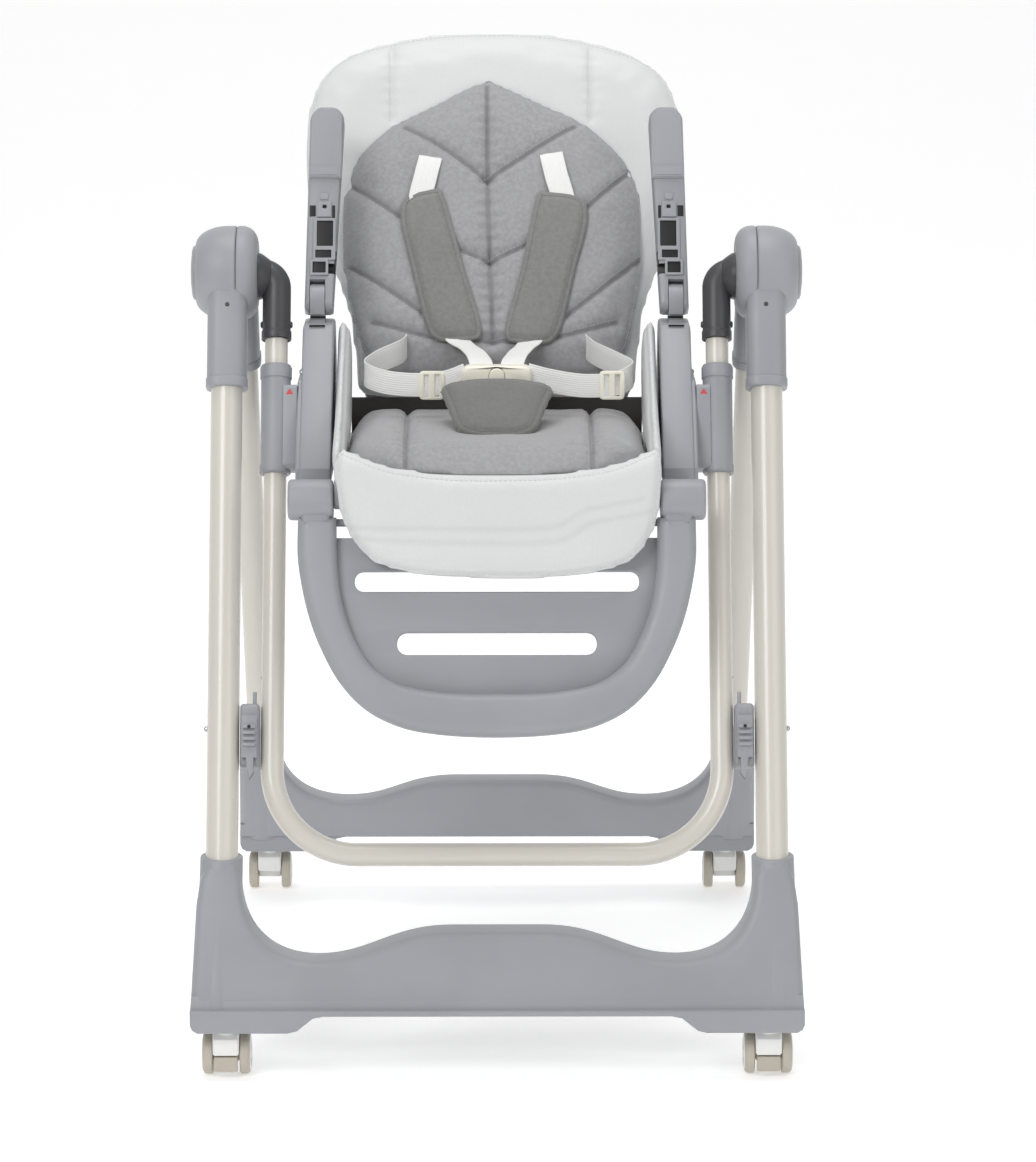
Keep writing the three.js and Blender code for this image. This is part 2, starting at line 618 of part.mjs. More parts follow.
// ---------------------------------------------------------------- armrests, in their own leaning frame
function armrest() {
  const { length, depth, knuckle } = ARMREST;
  const outline = polygon([
    [167, -knuckle + 4], [171, -knuckle], [192, -knuckle], [196, -knuckle + 4], [194, 90], [192, length - 10],
    [184, length], [165, length], [157, length - 10], [162, 90],
  ]);
  const body = prism(outline, 'y', -depth, depth, 4);
  const tongueRoom = join(
    bar('x', knuckle + 1.2, 175, 191, [0, 0], 20),
    box([175, -30, -30], [191, 30, 0]),
    box([175, -30, -30], [191, 0, knuckle + 1.2]),
  );
  const aroundKnuckle = cut(box([150, -30, -40], [210, 30, 6]), bar('x', knuckle, 150, 210, [0, 0], 20));
  const rounded = cut(body, aroundKnuckle);
  const pockets = [[53, 80, 14, 18], [39, 48, 15, 12], [23, 34, 15, 10]]
    .map(([from, to, width, deep]) => box([179 - width, -depth - 2, from], [179, -depth + deep, to]));
  const pin = bar('x', PIN + GAP, 160, 200, [0, 0], SMALL);
  const stop = bar('y', 3, -depth - 2, -depth + 6, [176, 95], SMALL);
  const coverOutline = polygon([
    [159, 126], [192, 126], [191, length - 12], [184, length - 3], [166, length - 3], [159, length - 12],
  ]);
  const cover = prism(coverOutline, 'y', -depth - 2.5, -depth + 3, 1);
  return cut(join(rounded, cover), tongueRoom, pin, stop, ...pockets);
}

// ---------------------------------------------------------------- casters, about their own swivel axis
function casterHood() {
  const { wheel, trail, hood, stem } = CASTER;
  const outline = polygon([
    [-10, 24], [-10, 40], [-5, 46], [16, 46], [28, 39], [31, 27], [24, 24], [20, 14], [4, 14], [2, 24],
  ]);
  const body = prism(outline, 'x', -hood, hood, 1.5);
  const collar = bar('z', 9, 45, 49.6, [0, 0], 16);
  const post = bar('z', stem, 45, 67, [0, 0], SMALL);
  return cut(join(body, collar, post), bar('x', PIN + GAP, -20, 20, [trail, wheel], SMALL));
}

function casterWheels() {
  const { wheel: r, half, hood } = CASTER;
  const face = hood + 0.4;
  const disc = turnedOnX([
    [0, face], [r, face], [r, half - 4], [r - 3, half - 1], [r - 8, half], [0, half],
  ]);
  const axle = bar('x', 4, -hood - 2, hood + 2, [0, 0], SMALL);
  return join(disc, mirrored(disc), axle).translate(0, CASTER.trail, r);
}

/** The brake pedal between a front caster's wheels. */
function casterBrake() {
  const outline = polygon([[-10, 22], [-10, 9], [-8, 6.5], [-5, 6.5], [-5, 16], [-3, 22]]);
  return prism(outline, 'x', -11.5, 11.5, 0.8);
}

// ---------------------------------------------------------------- the whole chair
const frontPlane = group(chair, { at: [0, 0, HUB.z], tilt: FRONT.direction * FRONT.lean });
const rearPlane = group(chair, { at: [0, 0, HUB.z], tilt: REAR.direction * REAR.lean });
const railPlane = group(chair, { at: [0, 0, HUB.z], tilt: -RAIL.lean });
const backPlane = group(chair, { at: [0, BACK.y, BACK.z], tilt: -BACK.lean });
const footrestPlane = group(chair, { at: [0, FOOTREST.y, FOOTREST.z], tilt: -FOOTREST.lean });
const armrestPlane = group(chair, { at: [0, ARMREST.y, ARMREST.z], tilt: -ARMREST.lean });

add(chair, 'front_foot', foot(FRONT), greyPlastic);
add(chair, 'front_foot_base', footBase(FRONT), greyPlastic);
add(chair, 'rear_foot', foot(REAR), greyPlastic);
add(chair, 'rear_foot_base', footBase(REAR), greyPlastic);
add(railPlane, 'seat_rail', seatRail(), creamTube);
add(chair, 'seat_pan', seatPan(), greyPlastic);
add(chair, 'recline_rod', reclineRod(), steel);
add(chair, 'seat_pad', seatPad(), greyFabric);
add(chair, 'seat_front_pad', seatFrontPad(), whiteLeather);
add(chair, 'crotch_pad', crotchPad(), padFabric);
add(chair, 'buckle', buckle(), ivoryPlastic);
add(chair, 'buckle_button', buckleButton(), ivoryPlastic);
add(chair, 'waist_adjuster_left', waistAdjuster(-66), ivoryPlastic);
add(chair, 'waist_adjuster_right', waistAdjuster(117), ivoryPlastic);
add(backPlane, 'backrest_shell', backShell(), greyPlastic);
add(backPlane, 'recline_lever', reclineLever(), darkPlastic);
add(backPlane, 'back_pad', backPad(), whiteLeather);
add(backPlane, 'back_insert', backInsert(), greyFabric);
add(backPlane, 'shoulder_pad_left', shoulderPad(LEFT_SHOULDER), padFabric);
add(backPlane, 'shoulder_pad_right', shoulderPad(RIGHT_SHOULDER), padFabric);
add(footrestPlane, 'footrest', footrest(), greyPlastic);
add(chair, 'calf_pad', calfPad(), whiteLeather);

for (const [name, side] of [['left', -1], ['right', 1]]) {
  add(frontPlane, `front_leg_${name}`, onSide(legTube(FRONT), side), creamTube);
  add(rearPlane, `rear_leg_${name}`, onSide(legTube(REAR), side), creamTube);
  add(frontPlane, `hub_housing_${name}`, onSide(hubHousing(), side), greyPlastic);
  add(rearPlane, `rear_hub_${name}`, onSide(rearHub(), side), greyPlastic);
  add(frontPlane, `hub_axle_${name}`, onSide(hubAxle(), side), steel);
  add(frontPlane, `fold_button_${name}`, onSide(foldButton(), side), greyPlastic);
  add(railPlane, `elbow_${name}`, onSide(elbow(), side), darkPlastic);
  add(railPlane, `latch_body_${name}`, onSide(latchBody(), side), greyPlastic);
  add(railPlane, `latch_slider_${name}`, onSide(latchSlider(), side), darkPlastic);
  add(railPlane, `slide_bracket_${name}`, onSide(slideBracket(), side), greyPlastic);
  add(railPlane, `height_button_${name}`, onSide(heightButton(), side), darkPlastic);
  add(chair, `side_panel_${name}`, onSide(sidePanel(), side), greyPlastic);
  add(chair, `side_wing_${name}`, onSide(sideWing(), side), whiteLeather);
  add(armrestPlane, `armrest_${name}`, onSide(armrest(), side), greyPlastic);

  const corners = [['front', FRONT, CASTER.frontX], ['rear', REAR, CASTER.rearX]];
  for (const [end, frame, casterX] of corners) {
    const swivel = group(chair, { at: [side * casterX, frame.footY, 0] });
    add(swivel, `caster_hood_${end}_${name}`, casterHood(), whitePlastic);
    add(swivel, `caster_wheels_${end}_${name}`, casterWheels(), beigeTread);
    if (frame === FRONT) add(swivel, `caster_brake_${name}`, casterBrake(), beigeTread);
  }
}

export default chair;
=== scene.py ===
"""The looks of a folding baby high chair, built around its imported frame.

Every size is in metres in the frame's own axes: +X right as seen from the front, -Y front, +Z up. Each
sub-assembly is a class: its fields are its sizes, and its methods make its meshes and dress them.
"""

from __future__ import annotations

import json
import logging
import math
from contextlib import contextmanager
from dataclasses import dataclass, field
from enum import Enum
from typing import Callable, Iterator, Sequence

import bmesh
import bpy
import numpy as np
from mathutils import Matrix, Vector, noise
from mathutils.bvhtree import BVHTree

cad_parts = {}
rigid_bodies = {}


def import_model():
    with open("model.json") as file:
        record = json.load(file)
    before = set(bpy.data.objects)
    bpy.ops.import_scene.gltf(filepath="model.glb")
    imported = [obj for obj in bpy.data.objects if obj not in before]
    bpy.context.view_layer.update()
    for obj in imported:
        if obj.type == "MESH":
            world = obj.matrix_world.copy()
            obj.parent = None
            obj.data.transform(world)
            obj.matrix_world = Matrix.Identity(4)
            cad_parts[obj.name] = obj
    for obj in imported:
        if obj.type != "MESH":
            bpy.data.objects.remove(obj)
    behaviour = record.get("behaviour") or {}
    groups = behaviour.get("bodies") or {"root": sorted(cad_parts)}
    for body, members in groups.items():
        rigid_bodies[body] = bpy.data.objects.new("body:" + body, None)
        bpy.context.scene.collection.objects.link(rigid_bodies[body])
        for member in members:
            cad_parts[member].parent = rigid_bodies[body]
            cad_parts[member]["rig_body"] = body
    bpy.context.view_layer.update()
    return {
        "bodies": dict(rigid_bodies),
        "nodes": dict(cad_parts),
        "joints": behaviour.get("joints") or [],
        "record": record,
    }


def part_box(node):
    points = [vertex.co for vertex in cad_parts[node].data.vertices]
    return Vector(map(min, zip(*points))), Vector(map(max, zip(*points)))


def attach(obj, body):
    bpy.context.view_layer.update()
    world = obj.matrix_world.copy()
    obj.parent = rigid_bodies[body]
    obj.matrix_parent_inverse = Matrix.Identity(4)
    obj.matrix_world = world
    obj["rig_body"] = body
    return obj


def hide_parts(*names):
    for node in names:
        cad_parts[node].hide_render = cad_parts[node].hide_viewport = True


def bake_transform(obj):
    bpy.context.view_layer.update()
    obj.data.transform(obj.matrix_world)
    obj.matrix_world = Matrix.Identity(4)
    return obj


log = logging.getLogger("high_chair")

SIDES = (("left", -1.0), ("right", 1.0))
MM = 0.001
# Points nearer than this are one point, and faces within this angle lie in one plane.
NEAR = 0.00001
LEVEL = math.radians(1.0)
# How the pads' cloth behaves, and for how many frames it is blown up.
CLOTH = {"quality": 4, "mass": 0.2, "tension_stiffness": 12, "compression_stiffness": 12,
         "shear_stiffness": 6, "bending_stiffness": 0.4, "use_pressure": True, "vertex_group_mass": "held"}
CLOTH_FRAMES = 20
PLAN = tuple[float, float]
Piece = bpy.types.Object


# Shader building
class Value:
    """A shader socket that Python operators turn into Math nodes."""

    def __init__(self, shader: Shader, socket: bpy.types.NodeSocket) -> None:
        """Wraps one output socket of the shader."""
        self.shader = shader
        self.socket = socket

    def _math(self, operation: str, *others: Value | float) -> Value:
        """Adds one Math node.

        Args:
            operation: The Math node's operation.
            others: Its inputs, in order.

        Returns:
            The node's output.
        """
        return self.shader.node("ShaderNodeMath", {"operation": operation}, *others)

    def __add__(self, other: Value | float) -> Value:
        """Sum."""
        return self._math("ADD", self, other)

    def __sub__(self, other: Value | float) -> Value:
        """Difference."""
        return self._math("SUBTRACT", self, other)

    def __rsub__(self, other: float) -> Value:
        """A number minus this value."""
        return self._math("SUBTRACT", other, self)

    def __mul__(self, other: Value | float) -> Value:
        """Product."""
        return self._math("MULTIPLY", self, other)

    __radd__ = __add__
    __rmul__ = __mul__

    def sine(self) -> Value:
        """The sine of this value."""
        return self._math("SINE", self)

    def absolute(self) -> Value:
        """This value without its sign."""
        return self._math("ABSOLUTE", self)

    def ramp(self, low: float, high: float) -> Value:
        """A smooth step from 0 at low to 1 at high."""
        settings = {"interpolation_type": "SMOOTHSTEP"}
        return self.shader.node("ShaderNodeMapRange", settings, self, low, high, 0.0, 1.0)


class Shader:
    """A new material with a Principled shader, and short ways to add nodes to it."""

    def __init__(self, name: str) -> None:
        """Starts an empty node tree with its output and Principled shader."""
        self.material = bpy.data.materials.new(name)
        self.material.use_nodes = True
        self.tree = self.material.node_tree
        self.surface = self.tree.nodes["Principled BSDF"]

    def node(self, kind: str, settings: dict | None = None, *inputs: object, out: int | str = 0) -> Value:
        """Adds any node.

        Args:
            kind: The node's type.
            settings: The node's own properties, set before its inputs.
            inputs: Values, links or None for its sockets, in order.
            out: Which output to return.

        Returns:
            The chosen output.
        """
        made = self.tree.nodes.new(kind)
        for key, value in (settings or {}).items():
            setattr(made, key, value)
        for socket, value in zip([s for s in made.inputs if s.enabled], inputs):
            self.feed(socket, value)
        return Value(self, made.outputs[out])

    def feed(self, socket: bpy.types.NodeSocket, value: object) -> None:
        """Links or sets one input socket, and leaves it alone for None."""
        if isinstance(value, Value):
            self.tree.links.new(value.socket, socket)
        elif value is not None:
            socket.default_value = value

    def place(self) -> Value:
        """Object coordinates, in metres."""
        return self.node("ShaderNodeTexCoord", None, out="Object")

    def axes(self, place: Value) -> tuple[Value, Value, Value]:
        """The three numbers of a vector."""
        split = self.node("ShaderNodeSeparateXYZ", None, place).socket.node
        return tuple(Value(self, socket) for socket in split.outputs)

    def attribute(self, name: str) -> Value:
        """A number stored on the mesh's points."""
        return self.node("ShaderNodeAttribute", {"attribute_name": name}, out="Fac")

    def noise(self, scale: float, detail: float = 2.0, place: Value | None = None) -> Value:
        """Noise from 0 to 1 in object space."""
        return self.node("ShaderNodeTexNoise", None, place or self.place(), scale, detail)

    def cells(self, scale: float) -> Value:
        """How far a point is from the edges of a cell pattern in object space."""
        settings = {"feature": "DISTANCE_TO_EDGE"}
        return self.node("ShaderNodeTexVoronoi", settings, self.place(), scale, out="Distance")

    def mix(self, share: Value, first: Sequence[float], second: object) -> Value:
        """A colour between two colours."""
        made = self.tree.nodes.new("ShaderNodeMix")
        made.data_type = "RGBA"
        self.feed(made.inputs[0], share)
        self.feed(made.inputs[6], first)
        self.feed(made.inputs[7], second)
        return Value(self, made.outputs[2])

    def bump(self, height: Value, depth: float, strength: float = 1.0) -> None:
        """Feeds the surface's normal from a height, in metres of depth."""
        made = self.tree.nodes.new("ShaderNodeBump")
        made.inputs["Strength"].default_value = strength
        made.inputs["Distance"].default_value = depth
        self.feed(made.inputs["Height"], height)
        self.tree.links.new(made.outputs["Normal"], self.surface.inputs["Normal"])

    def set(self, **values: object) -> None:
        """Sets or links the Principled shader's inputs, with _ for a space in their names."""
        for key, value in values.items():
            self.feed(self.surface.inputs[key.replace("_", " ")], value)


def srgb(red: int, green: int, blue: int) -> tuple[float, float, float, float]:
    """A screen colour from 0 to 255 as linear light."""

    def linear(channel: int) -> float:
        """One channel."""
        share = channel / 255
        return share / 12.92 if share <= 0.04045 else ((share + 0.055) / 1.055) ** 2.4

    return (linear(red), linear(green), linear(blue), 1.0)


def shade(colour: Sequence[float], factor: float) -> tuple[float, ...]:
    """The colour made darker or lighter by a factor."""
    return tuple(min(1.0, channel * factor) for channel in colour[:3]) + (1.0,)


@dataclass(frozen=True)
class Moulded:
    """Injection-moulded plastic with a fine spark texture, rubbed smoother in patches."""

    name: str
    slot: str
    colour: tuple[float, ...]
    roughness: float = 0.42
    texture: float = 0.00006

    def make(self) -> bpy.types.Material:
        """Builds the material."""
        shader = Shader(self.name)
        cloud = shader.noise(9.0, 3.0)
        spark = shader.noise(1500.0, 2.0)
        rubbed = shader.noise(38.0, 4.0).ramp(0.52, 0.72)
        tint = shader.mix(cloud.ramp(0.3, 0.7), shade(self.colour, 0.965), shade(self.colour, 1.03))
        shader.set(Base_Color=tint, Roughness=rubbed * -0.07 + (spark * 0.06 + self.roughness))
        shader.set(Specular_IOR_Level=0.45)
        shader.bump(spark, self.texture, 0.5)
        return shader.material


@dataclass(frozen=True)
class Painted:
    """Powder-coated tube: a faint orange peel under a soft gloss."""

    name: str
    slot: str
    colour: tuple[float, ...]

    def make(self) -> bpy.types.Material:
        """Builds the material."""
        shader = Shader(self.name)
        peel = shader.noise(420.0, 1.0)
        cloud = shader.noise(5.0, 2.0)
        tint = shader.mix(cloud.ramp(0.35, 0.65), shade(self.colour, 0.985), shade(self.colour, 1.01))
        shader.set(Base_Color=tint, Roughness=peel * 0.03 + 0.28, Coat_Weight=0.35)
        shader.set(Coat_Roughness=0.12)
        shader.bump(peel, 0.00002, 0.4)
        return shader.material


@dataclass(frozen=True)
class Steel:
    """Bright drawn steel with fine lines round the pin."""

    name: str
    slot: str
    colour: tuple[float, ...]

    def make(self) -> bpy.types.Material:
        """Builds the material."""
        shader = Shader(self.name)
        lines = shader.noise(900.0, 1.0)
        tint = shader.mix(lines, shade(self.colour, 0.9), self.colour)
        shader.set(Base_Color=tint, Metallic=1.0, Roughness=lines * 0.12 + 0.22)
        shader.bump(lines, 0.00003, 0.4)
        return shader.material


@dataclass(frozen=True)
class Leatherette:
    """Coated cloth with a pebble grain, with painted shade in the grooves along its seams."""

    name: str
    slot: str
    colour: tuple[float, ...]
    pebble: float = 620.0

    def make(self) -> bpy.types.Material:
        """Builds the material, with painted shade where the piece's own attribute marks a seam groove."""
        shader = Shader(self.name)
        grain = shader.cells(self.pebble).ramp(0.0, 0.35)
        fine = shader.noise(1400.0, 2.0)
        soft = shader.noise(22.0, 3.0)
        seam_shade = 1.0 - shader.attribute("seam").ramp(0.0, 0.005)
        base = shader.mix(soft.ramp(0.3, 0.7), shade(self.colour, 0.965), self.colour)
        base = shader.mix(1.0 - grain, base, shade(self.colour, 0.93))
        # Painted shade: darker near a seam, by the stored distance to it.
        base = shader.mix(seam_shade * 0.3, base, shade(self.colour, 0.74))
        shader.set(Base_Color=base, Roughness=grain * -0.06 + (fine * 0.08 + 0.44))
        shader.set(Sheen_Weight=0.08, Sheen_Roughness=0.5)
        shader.bump(grain * 0.5 + (fine * 0.2 + soft * 0.8), 0.00022, 0.65)
        return shader.material


@dataclass(frozen=True)
class Woven:
    """Plain-weave polyester cloth with a heathered tint, a sewn, padded look and painted shade in its seam
    grooves.
    """

    name: str
    slot: str
    colour: tuple[float, ...]
    pitch: float = 0.0011

    def make(self) -> bpy.types.Material:
        """Builds the material, with painted shade where the piece's own attribute marks a seam groove."""
        shader = Shader(self.name)
        x, y, z = shader.axes(shader.place())
        turns = 2 * math.pi / self.pitch
        warp = (x * turns).sine()
        weft = ((z + y) * turns).sine()
        weave = (warp * weft) * 0.5 + 0.5
        heather = shader.noise(260.0, 3.0)
        cloud = shader.noise(14.0, 2.0)
        seam_shade = 1.0 - shader.attribute("seam").ramp(0.0, 0.0045)
        base = shader.mix(heather.ramp(0.25, 0.75), shade(self.colour, 0.86), shade(self.colour, 1.1))
        base = shader.mix(weave * 0.45, base, shade(self.colour, 0.84))
        base = shader.mix(cloud.ramp(0.3, 0.7) * 0.25, base, shade(self.colour, 1.12))
        # Painted shade: darker near a seam, by the stored distance to it.
        base = shader.mix(seam_shade * 0.75, base, shade(self.colour, 0.5))
        shader.set(Base_Color=base, Roughness=heather * 0.12 + 0.8)
        shader.set(Sheen_Weight=0.35, Sheen_Roughness=0.45)
        shader.bump(weave * 0.6 + heather * 0.6, 0.00028, 0.7)
        return shader.material


@dataclass(frozen=True)
class Webbing:
    """Flat harness webbing: ribs along it, fine cross threads and a bound edge."""

    name: str
    slot: str
    colour: tuple[float, ...]
    width: float = 0.024

    def make(self) -> bpy.types.Material:
        """Builds the material from the strip's own UV: u across, v along, both in metres."""
        shader = Shader(self.name)
        across, along, _ = shader.axes(shader.node("ShaderNodeUVMap", {"uv_map": "strip"}))
        ribs = (across * (2 * math.pi / 0.0022)).sine() * 0.5 + 0.5
        picks = (along * (2 * math.pi / 0.0012)).sine() * 0.5 + 0.5
        edge = (across - self.width / 2).absolute().ramp(self.width * 0.42, self.width * 0.47)
        heather = shader.noise(300.0, 2.0)
        base = shader.mix(picks * 0.3, self.colour, shade(self.colour, 0.86))
        base = shader.mix(ribs * 0.25, base, shade(self.colour, 0.88))
        base = shader.mix(edge * 0.4, base, shade(self.colour, 0.9))
        shader.set(Base_Color=base, Roughness=heather * 0.15 + 0.62)
        shader.set(Sheen_Weight=0.2)
        shader.bump(ribs + (picks * 0.6 + edge * 1.2), 0.0003, 0.6)
        return shader.material


@dataclass(frozen=True)
class Thread:
    """Twisted sewing thread with a soft sheen."""

    name: str
    slot: str
    colour: tuple[float, ...]

    def make(self) -> bpy.types.Material:
        """Builds the material."""
        shader = Shader(self.name)
        twist = shader.noise(2600.0, 1.0)
        shader.set(Base_Color=shader.mix(twist, shade(self.colour, 0.9), self.colour), Roughness=0.6)
        shader.set(Sheen_Weight=0.3)
        shader.bump(twist, 0.00006, 0.5)
        return shader.material


class Look(Enum):
    """Every finish on the chair, with the material slot that it fills."""

    GREY = Moulded("moulded_grey", "grey_plastic", srgb(152, 154, 159))
    # DARK also stands as painted shade in the rear legs' holes, and BLACK as painted shade in the armrests'
    # windows and pockets and the side panels' slots.
    DARK = Moulded("moulded_dark", "dark_plastic", srgb(68, 68, 71), 0.36)
    BLACK = Moulded("moulded_black", "dark_plastic", srgb(26, 26, 28), 0.4)
    WHITE = Moulded("moulded_white", "white_plastic", srgb(229, 229, 226), 0.3)
    IVORY = Moulded("moulded_ivory", "ivory_plastic", srgb(243, 239, 224), 0.34)
    TREAD = Moulded("caster_tread", "caster_tread", srgb(186, 179, 166), 0.55, 0.0001)
    MARKER = Moulded("red_marker", "grey_plastic", srgb(214, 84, 88), 0.4)
    TUBE = Painted("cream_paint", "cream_tube", srgb(206, 202, 193))
    STEEL = Steel("bright_steel", "steel", srgb(190, 192, 195))
    LEATHER = Leatherette("white_leatherette", "white_leather", srgb(216, 217, 217))
    CLOTH = Woven("grey_quilt_cloth", "grey_fabric", srgb(161, 161, 163))
    PAD = Woven("strap_pad_cloth", "pad_fabric", srgb(133, 133, 132))
    CROTCH = Woven("crotch_pad_cloth", "crotch_fabric", srgb(116, 116, 113))
    # Painted shade: a dark cloth for the deep shadow between the seat cushion and the backrest.
    HINGE = Woven("hinge_cloth", "crotch_fabric", srgb(66, 62, 60))
    WEBBING = Webbing("harness_webbing", "white_leather", srgb(240, 240, 238))
    THREAD_WHITE = Thread("white_thread", "white_leather", srgb(214, 215, 214))
    THREAD_GREY = Thread("grey_thread", "grey_fabric", srgb(186, 186, 188))
    THREAD_DARK = Thread("dark_thread", "pad_fabric", srgb(112, 112, 110))


_made: dict[Look, bpy.types.Material] = {}


def finish(look: Look) -> bpy.types.Material:
    """The material of a look, made once."""
    if look not in _made:
        _made[look] = look.value.make()
    return _made[look]


# Local frames
@dataclass(frozen=True)
class Plane:
    """A leaning local frame: x to the right, y away from the front face, z up along the slope."""

    origin: Vector
    lean: float

    def matrix(self) -> Matrix:
        """The move from this frame to the row frame."""
        return Matrix.Translation(self.origin) @ Matrix.Rotation(-self.lean, 4, "X")

    def points(self, local: np.ndarray) -> np.ndarray:
        """Local points as row-frame points."""
        turn = np.array(self.matrix().to_3x3())
        return local @ turn.T + np.array(self.origin)


def curve_points(stops: Sequence[PLAN], count: int, closed: bool = True) -> np.ndarray:
    """A smooth line through a few stops, with evenly spaced points.

    Args:
        stops: The points that it passes, in millimetres.
        count: How many points come back.
        closed: Whether it returns to its first stop.

    Returns:
        The points as an array of x and z, in metres.
    """
    knots = np.array(stops, float) * MM
    if closed:
        knots = np.vstack([knots[-1:], knots, knots[:2]])
    else:
        knots = np.vstack([2 * knots[:1] - knots[1:2], knots, 2 * knots[-1:] - knots[-2:-1]])
    fine = []
    for before, start, end, after in zip(knots, knots[1:], knots[2:], knots[3:]):
        span = (np.linalg.norm(end - start)) ** 0.5
        lead = max(np.linalg.norm(start - before) ** 0.5, 1e-6)
        trail = max(np.linalg.norm(after - end) ** 0.5, 1e-6)
        out = (start - before) / lead - (end - before) / (lead + span) + (end - start) / span
        into = (end - start) / span - (after - start) / (span + trail) + (after - end) / trail
        for step in np.linspace(0, 1, 24, endpoint=False):
            square, cube = step * step, step ** 3
            fine.append((2 * cube - 3 * square + 1) * start + (cube - 2 * square + step) * out * span
                        + (3 * square - 2 * cube) * end + (cube - square) * into * span)
    fine.append(knots[-2])
    fine = np.array(fine)
    reach = np.concatenate([[0], np.cumsum(np.linalg.norm(np.diff(fine, axis=0), axis=1))])
    wanted = np.linspace(0, reach[-1], count, endpoint=not closed)
    return np.stack([np.interp(wanted, reach, fine[:, axis]) for axis in range(fine.shape[1])], 1)


def line_distance(points: np.ndarray, line: np.ndarray) -> tuple[np.ndarray, np.ndarray]:
    """How far points are from a line of straight stretches, and how far along it they fall."""
    best = np.full(len(points), np.inf)
    along = np.zeros(len(points))
    travelled = 0.0
    for start, end in zip(line, line[1:]):
        step = end - start
        length = float(np.linalg.norm(step))
        share = np.clip(((points - start) @ step) / max(length * length, 1e-12), 0, 1)
        gap = np.linalg.norm(points - (start + share[:, None] * step), axis=1)
        closer = gap < best
        best = np.where(closer, gap, best)
        along = np.where(closer, travelled + share * length, along)
        travelled += length
    return best, along


def smooth_step(value: np.ndarray, low: float, high: float) -> np.ndarray:
    """A smooth step from 0 at low to 1 at high."""
    share = np.clip((value - low) / (high - low), 0, 1)
    return share * share * (3 - 2 * share)


# Mesh helpers
def linked(name: str, data: bpy.types.ID) -> Piece:
    """A new object in the scene."""
    made = bpy.data.objects.new(name, data)
    bpy.context.scene.collection.objects.link(made)
    return made


def new_object(name: str, verts: np.ndarray, faces: Sequence[Sequence[int]]) -> Piece:
    """A linked mesh object from points and faces."""
    mesh = bpy.data.meshes.new(name)
    mesh.from_pydata([tuple(v) for v in verts], [], [tuple(f) for f in faces])
    return linked(name, mesh)


@contextmanager
def edited(piece: Piece) -> Iterator[bmesh.types.BMesh]:
    """The piece's mesh, open for edits and written back at the end."""
    work = bmesh.new()
    work.from_mesh(piece.data)
    yield work
    work.to_mesh(piece.data)
    work.free()


def band(low: int, high: int, count: int) -> list[tuple[int, ...]]:
    """The faces between two closed rings of points, given each ring's first point and their count."""
    return [(low + step, low + (step + 1) % count, high + (step + 1) % count, high + step)
            for step in range(count)]


def coordinates(piece: Piece) -> np.ndarray:
    """The mesh's points as an array."""
    flat = np.zeros(len(piece.data.vertices) * 3)
    piece.data.vertices.foreach_get("co", flat)
    return flat.reshape(-1, 3)


def set_coordinates(piece: Piece, points: np.ndarray) -> None:
    """Moves the mesh's points."""
    piece.data.vertices.foreach_set("co", points.astype(np.float32).ravel())
    piece.data.update()


def directions(piece: Piece) -> np.ndarray:
    """The mesh's point normals as an array."""
    flat = np.zeros(len(piece.data.vertices) * 3, np.float32)
    piece.data.vertex_normals.foreach_get("vector", flat)
    return flat.reshape(-1, 3)


def bake(piece: Piece) -> Piece:
    """Turns the piece's live modifiers into its plain mesh."""
    graph = bpy.context.evaluated_depsgraph_get()
    graph.update()
    mesh = bpy.data.meshes.new_from_object(piece.evaluated_get(graph))
    mesh.name = piece.name
    piece.modifiers.clear()
    piece.data = mesh
    return piece


def repair(piece: Piece, merge: float = 0.00002) -> Piece:
    """Merges doubled points and turns every face outwards."""
    with edited(piece) as work:
        bmesh.ops.remove_doubles(work, verts=work.verts, dist=merge)
        bmesh.ops.dissolve_degenerate(work, edges=work.edges, dist=merge / 4)
        bmesh.ops.recalc_face_normals(work, faces=work.faces)
    return piece


def smooth(piece: Piece, angle: float = 34.0) -> Piece:
    """Shades the piece smooth, with edges kept sharp past the angle in degrees."""
    piece.data.polygons.foreach_set("use_smooth", [True] * len(piece.data.polygons))
    limit = math.radians(angle)
    with edited(piece) as work:
        for edge in work.edges:
            edge.smooth = len(edge.link_faces) == 2 and edge.calc_face_angle(0.0) < limit
    return piece


def join(name: str, pieces: Sequence[Piece]) -> Piece:
    """Joins meshes in one object, with their materials."""
    work = bmesh.new()
    materials: list[bpy.types.Material] = []
    for piece in pieces:
        offset = len(work.faces)
        for material in piece.data.materials:
            if material not in materials:
                materials.append(material)
        work.from_mesh(piece.data)
        work.faces.ensure_lookup_table()
        own = list(piece.data.materials)
        for face in work.faces[offset:]:
            if own:
                face.material_index = materials.index(own[min(face.material_index, len(own) - 1)])
    mesh = bpy.data.meshes.new(name)
    work.to_mesh(mesh)
    work.free()
    for material in materials:
        mesh.materials.append(material)
    for piece in pieces:
        bpy.data.objects.remove(piece)
    return linked(name, mesh)


def moved(piece: Piece, change: Matrix) -> Piece:
    """Moves the mesh itself, and keeps its faces outwards under a mirror."""
    piece.data.transform(change)
    if change.determinant() < 0:
        piece.data.flip_normals()
    return piece


def mirror_x(piece: Piece, side: float) -> Piece:
    """The piece on the right side, or its mirror image on the left."""
    return moved(piece, Matrix.Diagonal((side, 1, 1, 1))) if side < 0 else piece


def bevelled(piece: Piece, width: float, segments: int = 3,
             angle: float = 32.0) -> Piece:
    """Rounds the piece's sharp edges."""
    rounding = piece.modifiers.new("rounding", "BEVEL")
    rounding.width = width
    rounding.segments = segments
    rounding.limit_method = "ANGLE"
    rounding.angle_limit = math.radians(angle)
    return bake(piece)


